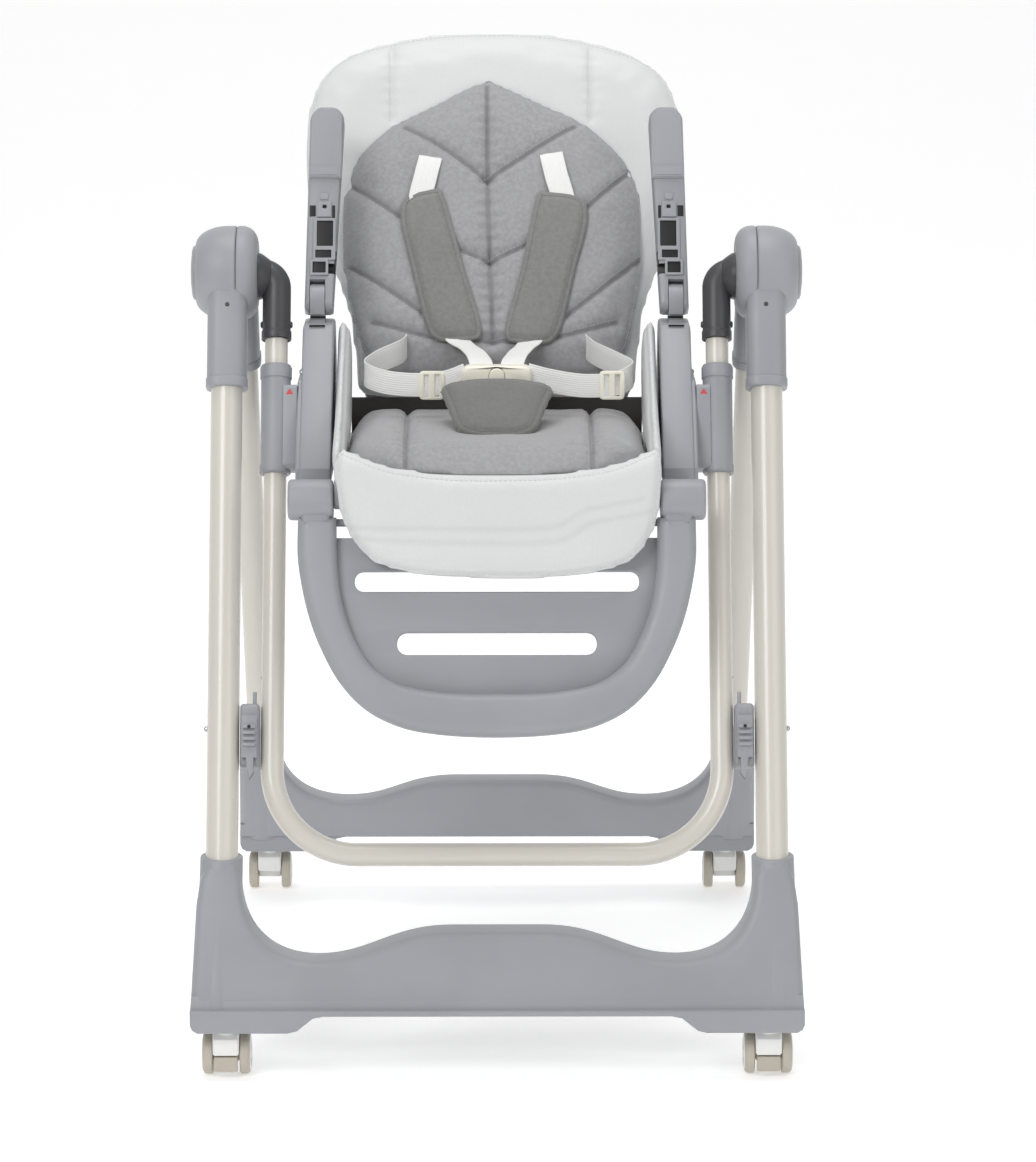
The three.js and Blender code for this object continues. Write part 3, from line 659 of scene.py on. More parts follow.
def plate(name: str, outline: Sequence[PLAN], low: float, high: float, edge: float,
          holes: Sequence[Sequence[PLAN]] = ()) -> Piece:
    """A flat moulding in the x-z plane with rounded edges.

    Args:
        name: The object's name.
        outline: Its corners, in millimetres.
        low: Its lowest y, in millimetres.
        high: Its highest y, in millimetres.
        edge: The radius of its edges, in millimetres.
        holes: The corners of the openings through it.

    Returns:
        The closed mesh.
    """
    curve = bpy.data.curves.new(name, "CURVE")
    curve.dimensions = "2D"
    curve.fill_mode = "BOTH"
    for corners in (outline, *holes):
        spline = curve.splines.new("POLY")
        spline.points.add(len(corners) - 1)
        spline.use_cyclic_u = True
        for point, (x, z) in zip(spline.points, corners):
            point.co = (x * MM, z * MM, 0, 1)
    half = (high - low) / 2 * MM
    curve.extrude = half - edge * MM
    curve.bevel_depth = edge * MM
    curve.bevel_resolution = 3
    curve.offset = -edge * MM
    holder = linked(name, curve)
    graph = bpy.context.evaluated_depsgraph_get()
    mesh = bpy.data.meshes.new_from_object(holder.evaluated_get(graph))
    bpy.data.objects.remove(holder)
    upright = Matrix.Translation((0, (low + high) / 2 * MM, 0)) @ Matrix.Rotation(math.radians(90), 4, "X")
    return repair(moved(linked(name, mesh), upright))


def rounded(x0: float, x1: float, z0: float, z1: float, radius: float, steps: int = 6) -> list[PLAN]:
    """A rounded rectangle's corners, anticlockwise, in millimetres."""
    corners = [(x1 - radius, z0 + radius, -90), (x1 - radius, z1 - radius, 0),
               (x0 + radius, z1 - radius, 90), (x0 + radius, z0 + radius, 180)]
    points = []
    for x, z, start in corners:
        for step in range(steps + 1):
            turn = math.radians(start + 90 * step / steps)
            points.append((x + radius * math.cos(turn), z + radius * math.sin(turn)))
    return points


def bezier(start: PLAN, first: PLAN, second: PLAN, end: PLAN, steps: int = 18) -> list[PLAN]:
    """Points on a cubic curve, without its start."""
    points = []
    for step in range(1, steps + 1):
        t = step / steps
        weights = ((1 - t) ** 3, 3 * t * (1 - t) ** 2, 3 * t * t * (1 - t), t ** 3)
        points.append(tuple(sum(w * p[axis] for w, p in zip(weights, (start, first, second, end)))
                            for axis in (0, 1)))
    return points


def lathe(name: str, profile: Sequence[PLAN], sides: int = 72) -> Piece:
    """A solid turned about the X axis, from a profile of (radius, x) in millimetres.

    Args:
        name: The object's name.
        profile: Its stops, the first and the last at radius 0.
        sides: How many sides its section has.

    Returns:
        The closed mesh.
    """
    rings = [(radius * MM, x * MM) for radius, x in profile]
    verts = [(rings[0][1], 0, 0), (rings[-1][1], 0, 0)]
    inner = rings[1:-1]
    turns = [2 * math.pi * step / sides for step in range(sides)]
    for radius, x in inner:
        verts += [(x, radius * math.cos(turn), radius * math.sin(turn)) for turn in turns]
    faces = []
    last = len(inner) - 1
    for step in range(sides):
        after = (step + 1) % sides
        faces.append((0, 2 + after, 2 + step))
        faces.append((1, 2 + last * sides + step, 2 + last * sides + after))
        for ring in range(last):
            a, b = 2 + ring * sides, 2 + (ring + 1) * sides
            faces.append((a + step, a + after, b + after, b + step))
    return repair(new_object(name, np.array(verts), faces))


def tube(name: str, route: np.ndarray, radius: float | Callable[[float], float], sides: int = 32,
         wall: float = 0.0) -> Piece:
    """A round bar or pipe along a route of row-frame points, closed at both ends.

    Args:
        name: The object's name.
        route: The points of its middle line, in metres.
        radius: Its radius in metres, or a function of the share of its length.
        sides: How many sides its section has.
        wall: The wall thickness of a pipe, or 0 for a solid bar.

    Returns:
        The closed mesh.
    """
    steps = np.gradient(route, axis=0)
    steps /= np.linalg.norm(steps, axis=1)[:, None]
    side = np.array([1.0, 0.0, 0.0]) if abs(steps[0][0]) < 0.9 else np.array([0.0, 1.0, 0.0])
    rings = []
    for share, (point, along) in zip(np.linspace(0, 1, len(route)), zip(route, steps)):
        side = side - along * (side @ along)
        side /= np.linalg.norm(side)
        other = np.cross(along, side)
        size = radius(share) if callable(radius) else radius
        turns = np.linspace(0, 2 * math.pi, sides, endpoint=False)
        rings.append((point, side, other, size, turns))

    def ring(part: tuple, inset: float) -> list[np.ndarray]:
        """One section's points."""
        point, across, other, size, turns = part
        reach = size - inset
        return [point + reach * (math.cos(t) * across + math.sin(t) * other) for t in turns]

    layers = [ring(part, 0.0) for part in rings]
    if wall:
        layers += [ring(part, wall) for part in reversed(rings)]
    verts = np.array([point for layer in layers for point in layer])
    count = len(layers)
    faces = []
    for low in range(count if wall else count - 1):
        faces += band(low * sides, (low + 1) % count * sides, sides)
    if not wall:
        faces.append(tuple(reversed(range(sides))))
        faces.append(tuple(range((count - 1) * sides, count * sides)))
    return repair(new_object(name, verts, faces))


def bent(corners: Sequence[Sequence[float]], bend: float, steps: int = 14) -> np.ndarray:
    """Corner points joined by straight stretches, with each inner corner rounded to the bend radius."""
    corners = [np.array(c, float) for c in corners]
    points = [corners[0]]
    for before, here, after in zip(corners, corners[1:], corners[2:]):
        into = (here - before) / np.linalg.norm(here - before)
        out = (after - here) / np.linalg.norm(after - here)
        angle = math.acos(float(np.clip(into @ out, -1, 1)))
        start = here - into * bend * math.tan(angle / 2)
        side = out - into * (out @ into)
        side /= np.linalg.norm(side)
        for step in range(steps + 1):
            turn = angle * step / steps
            points.append(start + into * bend * math.sin(turn) + side * bend * (1 - math.cos(turn)))
    points.append(corners[-1])
    return np.array(points)


def dressed(piece: Piece, name: str, look: Look, angle: float = 34.0) -> Piece:
    """Names the piece, shades it smooth and gives it one finish."""
    piece.name = piece.data.name = name
    if not piece.data.materials:
        piece.data.materials.append(finish(look))
    smooth(piece, angle)
    return piece


def coated(piece: Piece, *looks: Look) -> Piece:
    """Gives the mesh these finishes and no others."""
    piece.data.materials.clear()
    for look in looks:
        piece.data.materials.append(finish(look))
    return piece


def dressed_soft(piece: Piece, look: Look) -> Piece:
    """Gives a pad its cloth."""
    coated(piece, look)
    return piece


def done(piece: Piece, body: str, *nodes: str) -> Piece:
    """Hangs a finished piece on its body and hides the plain solids that it stands for."""
    if body:
        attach(piece, body)
    if nodes:
        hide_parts(*nodes)
    log.info("%s: %d faces on %s", piece.name, len(piece.data.polygons), body or "two bodies")
    return piece


def merge_solid(work: bmesh.types.BMesh) -> None:
    """Merges a frame solid's loose triangles, and joins those that lie in one plane."""
    bmesh.ops.remove_doubles(work, verts=work.verts, dist=NEAR)
    bmesh.ops.dissolve_limit(work, angle_limit=LEVEL, verts=work.verts, edges=work.edges)


def skin(frame: dict, node: str, look: Look, radius: float = 0.0012, segments: int = 2) -> Piece:
    """A copy of a frame solid with rounded edges, which stands for it."""
    source = frame["nodes"][node]
    copy = coated(linked(node + "_skin", source.data.copy()))
    with edited(copy) as work:
        merge_solid(work)
    bevelled(copy, radius, segments)
    return done(dressed(copy, node + "_skin", look), source["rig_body"], node)


# Repeated items
class NodeTree:
    """A Geometry Nodes tree with named inputs."""

    def __init__(self, name: str, sockets: dict[str, str]) -> None:
        """Starts the tree with a geometry input and output and its own named inputs."""
        self.tree = bpy.data.node_groups.new(name, "GeometryNodeTree")
        face = self.tree.interface
        face.new_socket("Geometry", in_out="INPUT", socket_type="NodeSocketGeometry")
        self.identifiers = {label: face.new_socket(label, in_out="INPUT", socket_type=kind).identifier
                            for label, kind in sockets.items()}
        face.new_socket("Geometry", in_out="OUTPUT", socket_type="NodeSocketGeometry")
        self.entry = self.tree.nodes.new("NodeGroupInput")
        self.exit = self.tree.nodes.new("NodeGroupOutput")

    def add(self, kind: str, settings: dict | None = None, **inputs: object) -> bpy.types.Node:
        """Adds a node and links or sets its inputs, with _ for a space in their names."""
        made = self.tree.nodes.new(kind)
        for key, value in (settings or {}).items():
            setattr(made, key, value)
        for key, value in inputs.items():
            socket = made.inputs[key.replace("_", " ")]
            if isinstance(value, bpy.types.NodeSocket):
                self.tree.links.new(value, socket)
            else:
                socket.default_value = value
        return made

    def vector(self, attribute: str) -> bpy.types.NodeSocket:
        """A vector stored on the points."""
        settings = {"data_type": "FLOAT_VECTOR"}
        return self.add("GeometryNodeInputNamedAttribute", settings, Name=attribute).outputs[0]


@dataclass
class Repeats:
    """Copies of one small item along lines, or at single points when the pitch is 0."""

    name: str
    item: Piece
    look: Look
    pitch: float = 0.0

    def tree(self) -> NodeTree:
        """The tree: points, an instance on each turned to its stored directions, one real mesh."""
        sockets = {"Item": "NodeSocketObject", "Pitch": "NodeSocketFloat", "Finish": "NodeSocketMaterial"}
        nodes = NodeTree(self.name, sockets)
        place = nodes.entry.outputs["Geometry"]
        if self.pitch:
            line = nodes.add("GeometryNodeMeshToCurve", Mesh=place).outputs[0]
            settings = {"mode": "LENGTH"}
            place = nodes.add("GeometryNodeResampleCurve", settings, Curve=line,
                              Length=nodes.entry.outputs["Pitch"]).outputs[0]
        turn = nodes.add("FunctionNodeAlignRotationToVector", {"axis": "X"}, Vector=nodes.vector("along"))
        turn = nodes.add("FunctionNodeAlignRotationToVector", {"axis": "Z", "pivot_axis": "X"},
                         Rotation=turn.outputs[0], Vector=nodes.vector("up"))
        item = nodes.add("GeometryNodeObjectInfo", Object=nodes.entry.outputs["Item"])
        spread = nodes.add("GeometryNodeInstanceOnPoints", Points=place, Instance=item.outputs["Geometry"],
                           Rotation=turn.outputs[0])
        real = nodes.add("GeometryNodeRealizeInstances", Geometry=spread.outputs[0])
        coloured = nodes.add("GeometryNodeSetMaterial", Geometry=real.outputs[0],
                             Material=nodes.entry.outputs["Finish"])
        nodes.tree.links.new(coloured.outputs[0], nodes.exit.inputs["Geometry"])
        return nodes

    def make(self, runs: Sequence[tuple[np.ndarray, np.ndarray]]) -> Piece:
        """Places the copies.

        Args:
            runs: Each line's points with the outward direction at each, in the row frame.

        Returns:
            One real mesh of every copy. The item is removed.
        """
        points = np.vstack([line for line, _ in runs])
        ups = np.vstack([up for _, up in runs])
        along = np.vstack([np.gradient(line, axis=0) if len(line) > 1 else np.array([[1.0, 0.0, 0.0]])
                           for line, _ in runs])
        edges, start = [], 0
        for line, _ in runs:
            edges += [(start + step, start + step + 1) for step in range(len(line) - 1)]
            start += len(line)
        mesh = bpy.data.meshes.new(self.name)
        mesh.from_pydata([tuple(point) for point in points], edges if self.pitch else [], [])
        for label, values in (("along", along), ("up", ups)):
            layer = mesh.attributes.new(label, "FLOAT_VECTOR", "POINT")
            layer.data.foreach_set("vector", values.astype(np.float32).ravel())
        made = linked(self.name, mesh)
        nodes = self.tree()
        spread = made.modifiers.new("repeats", "NODES")
        spread.node_group = nodes.tree
        for label, value in (("Item", self.item), ("Pitch", self.pitch), ("Finish", finish(self.look))):
            spread[nodes.identifiers[label]] = value
        bake(made)
        bpy.data.objects.remove(self.item)
        made.data.materials.clear()
        return dressed(made, self.name, self.look, 60.0)


def thread_item(length: float, radius: float) -> Piece:
    """One stitch: a short rounded length of thread along x, in metres."""
    profile = [(0, -0.5), (0.55, -0.44), (0.9, -0.2), (1, 0), (0.9, 0.2), (0.55, 0.44), (0, 0.5)]
    return lathe("stitch", [(reach * radius / MM, x * length / MM) for reach, x in profile], 8)


def dome_item(radius: float, height: float) -> Piece:
    """One rivet head that stands on z = 0, in metres."""
    profile = [(0, -0.4), (0.96, -0.4), (1, 0), (0.9, 0.45), (0.62, 0.82), (0.3, 0.97), (0, 1)]
    made = lathe("head", [(reach * radius / MM, x * height / MM) for reach, x in profile], 20)
    return moved(made, Matrix.Rotation(math.radians(-90), 4, "Y"))


def ray_tree(piece: Piece) -> BVHTree:
    """The mesh's faces, ready for straight looks at them."""
    return BVHTree.FromPolygons([v.co for v in piece.data.vertices],
                                [tuple(face.vertices) for face in piece.data.polygons])


def surface_hit(piece: Piece, start: Sequence[float], way: Sequence[float]) -> tuple | None:
    """Where a straight look from a point first meets a mesh: the place and its outward direction."""
    place, normal, _, _ = ray_tree(piece).ray_cast(Vector(start), Vector(way))
    return None if place is None else (place, normal)


# The chair's places
@dataclass(frozen=True)
class Chair:
    """The frame's fixed places that every sub-assembly is built from."""

    frame: dict
    back_lean: float = 25.0
    leg_rest_lean: float = 22.0
    rail_lean: float = 23.9
    armrest_lean: float = 27.0

    def joint(self, name: str) -> dict:
        """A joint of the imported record."""
        return next(joint for joint in self.frame["joints"] if joint["name"] == name)

    def pivot(self, name: str) -> Vector:
        """Where a joint's axis is, in the middle of the chair."""
        place = self.joint(name)["pos_m"]
        return Vector((0, place[1], place[2]))

    def plane(self, name: str, lean: float) -> Plane:
        """The leaning frame at a joint."""
        return Plane(self.pivot(name), math.radians(lean))

    @property
    def hub(self) -> Vector:
        """The hub axis."""
        return self.pivot("frame_fold")

    @property
    def back(self) -> Plane:
        """The backrest's frame."""
        return self.plane("recline", self.back_lean)

    @property
    def leg_rest(self) -> Plane:
        """The footrest's frame."""
        return self.plane("leg_rest_angle", self.leg_rest_lean)

    @property
    def rail(self) -> Plane:
        """The U rail's frame."""
        return self.plane("frame_fold", self.rail_lean)

    def armrest(self, name: str) -> Plane:
        """One armrest's frame."""
        return self.plane(f"armrest_{name}_fold", self.armrest_lean)


# Padded pieces
@dataclass
class Seam:
    """A sewn line across a pad."""

    stops: Sequence[PLAN]
    depth: float = 5.0
    width: float = 7.0
    stitched: bool = True
    beside: float = 3.4

    def line(self) -> np.ndarray:
        """The seam's points, in metres."""
        if len(self.stops) == 2:
            return np.array(self.stops, float) * MM
        return curve_points(self.stops, 16 * len(self.stops), closed=False)


@dataclass
class Pad:
    """A stuffed or foam piece: an outline in a plane, a thickness, and seams sewn into its front.

    Sizes are in millimetres in the plane's own frame. back is the y of its flat rear face and rise how far
    its middle stands in front of that.
    """

    name: str
    plane: Plane
    outline: Sequence[PLAN]
    back: float
    rise: float
    roll: float
    seams: Sequence[Seam] = ()
    voxel: float = 5.0
    pressure: float = 4.0
    cap: float = 5.0
    hem: float = 0.0
    thread: Look | None = None
    fill: float = 0.6
    rings: int = 26
    around: int = 260
    shape: Callable[[np.ndarray], np.ndarray] | None = None
    edge: np.ndarray = field(default=None, repr=False)
    runs: list = field(default_factory=list, repr=False)

    def build(self) -> Piece:
        """Returns:
            The finished mesh in the row frame.
        """
        self.edge = curve_points(self.outline, self.around)
        piece = self.blank()
        piece = self.inflate(piece)
        self.sew(piece)
        self.runs = self.stitch_runs(piece) if self.thread else []
        set_coordinates(piece, self.plane.points(coordinates(piece)))
        smooth(piece, 70.0)
        return piece

    def stitch_runs(self, piece: Piece) -> list[tuple[np.ndarray, np.ndarray]]:
        """The stitch lines laid on the sewn front, with their outward directions, in the row frame."""
        lines = []
        for part in self.seams:
            line = part.line()
            step = np.gradient(line, axis=0)
            step /= np.linalg.norm(step, axis=1)[:, None]
            if part.stitched:
                lines.append(line + np.stack([-step[:, 1], step[:, 0]], 1) * part.beside * MM)
        if self.hem:
            closed = np.vstack([self.edge, self.edge[:2]])
            step = np.gradient(closed, axis=0)
            step /= np.linalg.norm(step, axis=1)[:, None]
            inward = np.stack([-step[:, 1], step[:, 0]], 1)
            middle = closed.mean(0)
            if np.sum((middle - closed[0]) * inward[0]) < 0:
                inward = -inward
            lines.append(closed[:-1] + inward[:-1] * self.hem * MM)
        tree = ray_tree(piece)
        turn = np.array(self.plane.matrix().to_3x3())
        runs = []
        for line in lines:
            length = float(np.sum(np.linalg.norm(np.diff(line, axis=0), axis=1)))
            stops = np.vstack([line[:-1:3], line[-1:]]) / MM
            fine = curve_points(stops, max(8, int(length / 0.002)), closed=False)
            places, ups = [], []
            for x, z in fine:
                place, normal, _, _ = tree.ray_cast(Vector((x, -0.5, z)), Vector((0, 1, 0)))
                if place is not None and normal.y < -0.15:
                    places.append(np.array(place) + np.array(normal) * 0.00015)
                    ups.append(np.array(normal))
            if len(places) > 3:
                runs.append((self.plane.points(np.array(places)), np.array(ups) @ turn.T))
        return runs

    def stitching(self, pitch: float) -> Piece:
        """The real stitches of the pad, as one piece."""
        item = thread_item(pitch * 0.72 * MM, 0.42 * MM)
        return Repeats(self.name + "_stitching", item, self.thread, pitch * MM).make(self.runs)

    def sewn(self, look: Look, body: str, node: str, pitch: float) -> None:
        """Builds the pad and its stitches, and hangs both on a body.

        Args:
            look: The cloth.
            body: The body that carries it.
            node: The plain solid that it stands for.
            pitch: The distance between stitches, in millimetres.
        """
        done(dressed_soft(self.build(), look), body, node)
        done(self.stitching(pitch), body)

    def inset(self, flat: np.ndarray) -> np.ndarray:
        """How far points are from the outline, in metres."""
        return line_distance(flat, np.vstack([self.edge, self.edge[:1]]))[0]

    def blank(self) -> Piece:
        """The cut shape before stuffing: rings from the outline to its middle, in local metres."""
        middle = self.edge.mean(0)
        shares = 1 - np.linspace(0, 1, self.rings) ** 1.35
        flat = np.vstack([middle + (self.edge - middle) * max(share, 0.004) for share in shares])
        share = np.clip(self.inset(flat) / (self.roll * MM), 0, 1)
        height = np.sqrt(np.clip(1 - (1 - share) ** 2, 0, 1)) * self.rise * MM
        offset = self.shape(flat) if self.shape is not None else np.zeros(len(flat))
        rear = self.back * MM + offset
        lip = 0.12 * self.rise * MM
        front = np.stack([flat[:, 0], rear - lip - height * 0.88, flat[:, 1]], 1)
        behind = np.stack([flat[:, 0], rear - lip * (1 - share), flat[:, 1]], 1)
        count = len(self.edge)
        total = len(flat)
        inner = behind[count:]
        verts = np.vstack([front, inner])
        faces = []
        for ring in range(self.rings - 1):
            for step in range(count):
                after = (step + 1) % count
                a, b = ring * count, (ring + 1) * count
                faces.append((a + step, a + after, b + after, b + step))
                rear_a = a if ring == 0 else total + a - count
                rear_b = total + b - count
                faces.append((rear_a + step, rear_b + step, rear_b + after, rear_a + after))
        last = (self.rings - 1) * count
        faces.append(tuple(last + step for step in range(count)))
        faces.append(tuple(total + last - count + step for step in reversed(range(count))))
        return repair(new_object(self.name, verts, faces), NEAR)

    def inflate(self, piece: Piece) -> Piece:
        """Blows the blank up as cloth with its rear face held, evens it out and makes it finer."""
        mesher = piece.modifiers.new("even mesh", "REMESH")
        mesher.mode = "VOXEL"
        mesher.voxel_size = self.voxel * MM
        bake(piece)
        rest = coordinates(piece)
        held = piece.vertex_groups.new(name="held")
        facing = directions(piece)[:, 1]
        deep = self.back * MM + (self.shape(rest[:, [0, 2]]) if self.shape is not None else 0)
        behind = np.where((facing > 0.3) | (rest[:, 1] > deep - 0.0025))[0]
        held.add([int(index) for index in behind], 1.0, "REPLACE")
        cloth = piece.modifiers.new("cloth", "CLOTH")
        for key, value in CLOTH.items():
            setattr(cloth.settings, key, value)
        cloth.settings.uniform_pressure_force = self.pressure
        cloth.settings.effector_weights.gravity = 0
        cloth.point_cache.frame_start = 1
        cloth.point_cache.frame_end = CLOTH_FRAMES
        scene = bpy.context.scene
        for step in range(1, CLOTH_FRAMES + 1):
            scene.frame_set(step)
        bake(piece)
        scene.frame_set(1)
        change = coordinates(piece) - rest
        length = np.linalg.norm(change, axis=1, keepdims=True)
        limit = self.cap * MM
        change *= np.minimum(1, limit / np.maximum(length, 1e-9))
        set_coordinates(piece, rest + change)
        even = piece.modifiers.new("even", "SMOOTH")
        even.factor = 0.5
        even.iterations = 5
        finer = piece.modifiers.new("finer", "SUBSURF")
        finer.levels = finer.render_levels = 1
        return bake(piece)

    def sew(self, piece: Piece) -> None:
        """Presses seams, hem and puckers into the front, and stores each point's distance to a seam."""
        points = coordinates(piece)
        flat = points[:, [0, 2]]
        front = np.clip(-directions(piece)[:, 1] * 1.6, 0, 1)
        seam = np.full(len(points), 1.0)
        press = np.zeros(len(points))
        for part in self.seams:
            gap, along = line_distance(flat, part.line())
            width = part.width * MM
            wobble = 1 + 0.25 * np.sin(along * 2 * math.pi / 0.021 + 1.3)
            groove = 0.6 * np.exp(-(gap / width) ** 2) + 0.4 * np.exp(-(gap / 0.0022) ** 2)
            press += part.depth * MM * groove
            beside = np.exp(-((gap - width) / width) ** 2)
            press += 0.00014 * part.depth * wobble * beside * np.sin(along * 2 * math.pi / 0.013)
            seam = np.minimum(seam, gap)
        if self.hem:
            press += 0.0016 * np.exp(-(np.abs(self.inset(flat) - self.hem * MM) / 0.0028) ** 2)
        points[:, 1] += press * front
        for index in np.where(front > 0.2)[0]:
            x, _, z = points[index]
            ripple = noise.noise(Vector((x * 16, 3.1, z * 16)))
            ripple += 0.5 * noise.noise(Vector((x * 41, 8.2, z * 41)))
            points[index, 1] += 0.0009 * ripple * front[index]
        set_coordinates(piece, points)
        # The seam distance, which the cloth and leatherette finishes turn into painted shade in the seam
        # grooves.
        layer = piece.data.attributes.new("seam", "FLOAT", "POINT")
        layer.data.foreach_set("value", seam.astype(np.float32))


def ribbon(name: str, route: Sequence[Sequence[float]], across: Sequence[Sequence[float]] | Sequence[float],
           width: float = 0.024, thick: float = 0.0016, steps: int = 48) -> Piece:
    """A flat webbing strap along a few row-frame points.

    Args:
        name: The object's name.
        route: The points of its middle line, in metres.
        across: The direction of its width, once for all or at each point.
        width: Its width in metres.
        thick: Its thickness in metres.
        steps: How many sections it has.

    Returns:
        A closed strip with a UV map of u across and v along, in metres.
    """
    line = curve_points(np.array(route) / MM, steps, closed=False)
    sides = np.array(across, float)
    if sides.ndim == 1:
        sides = np.repeat(sides[None, :], len(route), 0)
    shares = np.linspace(0, 1, len(sides))
    sides = np.stack([np.interp(np.linspace(0, 1, steps), shares, sides[:, axis]) for axis in range(3)], 1)
    along = np.gradient(line, axis=0)
    along /= np.linalg.norm(along, axis=1)[:, None]
    sides -= along * np.sum(sides * along, 1)[:, None]
    sides /= np.linalg.norm(sides, axis=1)[:, None]
    up = np.cross(sides, along)
    section = [(-0.5, 0.3), (-0.46, 0.5), (-0.2, 0.5), (0.2, 0.5), (0.46, 0.5), (0.5, 0.3),
               (0.5, -0.3), (0.46, -0.5), (0.2, -0.5), (-0.2, -0.5), (-0.46, -0.5), (-0.5, -0.3)]
    layers = [line + sides * (u * width) + up * (v * thick) for u, v in section]
    verts = np.stack(layers, 1).reshape(-1, 3)
    count = len(section)
    faces = []
    for low in range(steps - 1):
        faces += band(low * count, (low + 1) * count, count)
    faces.append(tuple(reversed(range(count))))
    faces.append(tuple(range((steps - 1) * count, steps * count)))
    made = new_object(name, verts, faces)
    reach = np.concatenate([[0], np.cumsum(np.linalg.norm(np.diff(line, axis=0), axis=1))])
    layer = made.data.uv_layers.new(name="strip")
    for loop in made.data.loops:
        ring, corner = divmod(loop.vertex_index, count)
        layer.data[loop.index].uv = ((section[corner][0] + 0.5) * width, reach[ring])
    with edited(made) as work:
        bmesh.ops.recalc_face_normals(work, faces=work.faces)
    return made


# Soft goods
@dataclass
class BackCushion:
    """The backrest's white cover, its quilted insert and the two shoulder pads."""

    chair: Chair
    cover_edge: Sequence[PLAN] = (
        (-7, 424), (-60, 422), (-112, 413), (-158, 397), (-184, 374), (-199, 338), (-204, 300), (-203, 255),
        (-193, 205), (-172, 155), (-157, 110), (-150, 62), (-145, 26), (-110, 17), (0, 16), (108, 17),
        (143, 26),
        (150, 62), (156, 110), (171, 155), (189, 205), (197, 255), (198, 300), (193, 338), (178, 372),
        (152, 394), (105, 412), (50, 422))
    insert_edge: Sequence[PLAN] = (
        (-14, 361), (-9, 363), (-4, 361), (20, 350), (60, 331), (92, 315), (98, 311), (130, 280), (150, 240),
        (154, 190), (149, 127), (134, 62), (118, 40), (60, 33), (-4, 32), (-60, 33), (-122, 40), (-140, 62),
        (-158, 127), (-164, 190), (-160, 240), (-144, 280), (-112, 311), (-106, 315), (-74, 331), (-38, 350))
    pad_outlines: dict = field(default_factory=lambda: {
        "left": ((-99, 221), (-101, 203), (-90, 150), (-74, 86), (-68, 74), (-58, 68), (-26, 69), (-17, 71),
                 (-14, 79), (-34, 155), (-54, 228), (-58, 236), (-67, 236), (-90, 230)),
        "right": ((93, 221), (96, 203), (84, 150), (68, 84), (62, 72), (52, 65), (20, 66), (11, 68),
                  (7, 76), (25, 152), (40, 225), (44, 234), (52, 233), (82, 229))})

    def cover_form(self, flat: np.ndarray) -> np.ndarray:
        """How far the cover bends forward at its sides, where its shell curls."""
        return -0.004 * smooth_step(np.abs(flat[:, 0]), 0.105, 0.185)

    def cover(self) -> None:
        """The white padded cover with its two upright seams and hemmed edge."""
        seams = (Seam(((-109, 318), (-110, 402)), 3.0, 6.0), Seam(((99, 318), (99, 400)), 3.0, 6.0))
        pad = Pad("back_cover", self.chair.back, self.cover_edge, -1.5, 23.0, 26.0, seams, voxel=6.0,
                  cap=3.0, hem=7.0, fill=0.55, shape=self.cover_form, around=320, thread=Look.THREAD_WHITE)
        pad.sewn(Look.LEATHER, "backrest", "back_pad", 4.8)

    def insert(self) -> None:
        """The grey leaf-shaped pad, quilted along a middle vein and four pairs of side veins."""
        seams = (
            Seam(((-10, 352), (-9, 220), (-4, 70)), 6.0, 7.0, stitched=False),
            Seam(((-10, 246), (-52, 279), (-96, 306)), 5.0), Seam(((-10, 246), (36, 277), (82, 307)), 5.0),
            Seam(((-7, 157), (-60, 180), (-100, 206), (-153, 243)), 5.0),
            Seam(((-7, 157), (48, 184), (90, 213), (140, 258)), 5.0),
            Seam(((-62, 92), (-100, 118), (-152, 154)), 5.0), Seam(((72, 98), (110, 128), (150, 163)), 5.0),
            Seam(((-6, 70), (-70, 76), (-128, 92)), 4.0), Seam(((-4, 70), (66, 76), (124, 92)), 4.0))
        pad = Pad("back_insert_quilt", self.chair.back, self.insert_edge, -24.5, 17.0, 17.0, seams,
                  cap=4.5, hem=4.5, around=300, thread=Look.THREAD_GREY)
        pad.sewn(Look.CLOTH, "backrest", "back_insert", 4.0)

    def shoulder_pad(self, name: str) -> None:
        """One padded sleeve on a shoulder strap, with a stitched border."""
        pad = Pad("shoulder_sleeve_" + name, self.chair.back, self.pad_outlines[name], -43.5, 10.0, 5.0, (),
                  voxel=3.0, cap=1.6, hem=6.5, fill=0.5, rings=18, around=200, thread=Look.THREAD_DARK)
        pad.sewn(Look.PAD, "backrest", "shoulder_pad_" + name, 3.6)

    def build(self) -> None:
        """Makes every soft piece of the backrest."""
        self.cover()
        self.insert()
        for name, _ in SIDES:
            self.shoulder_pad(name)


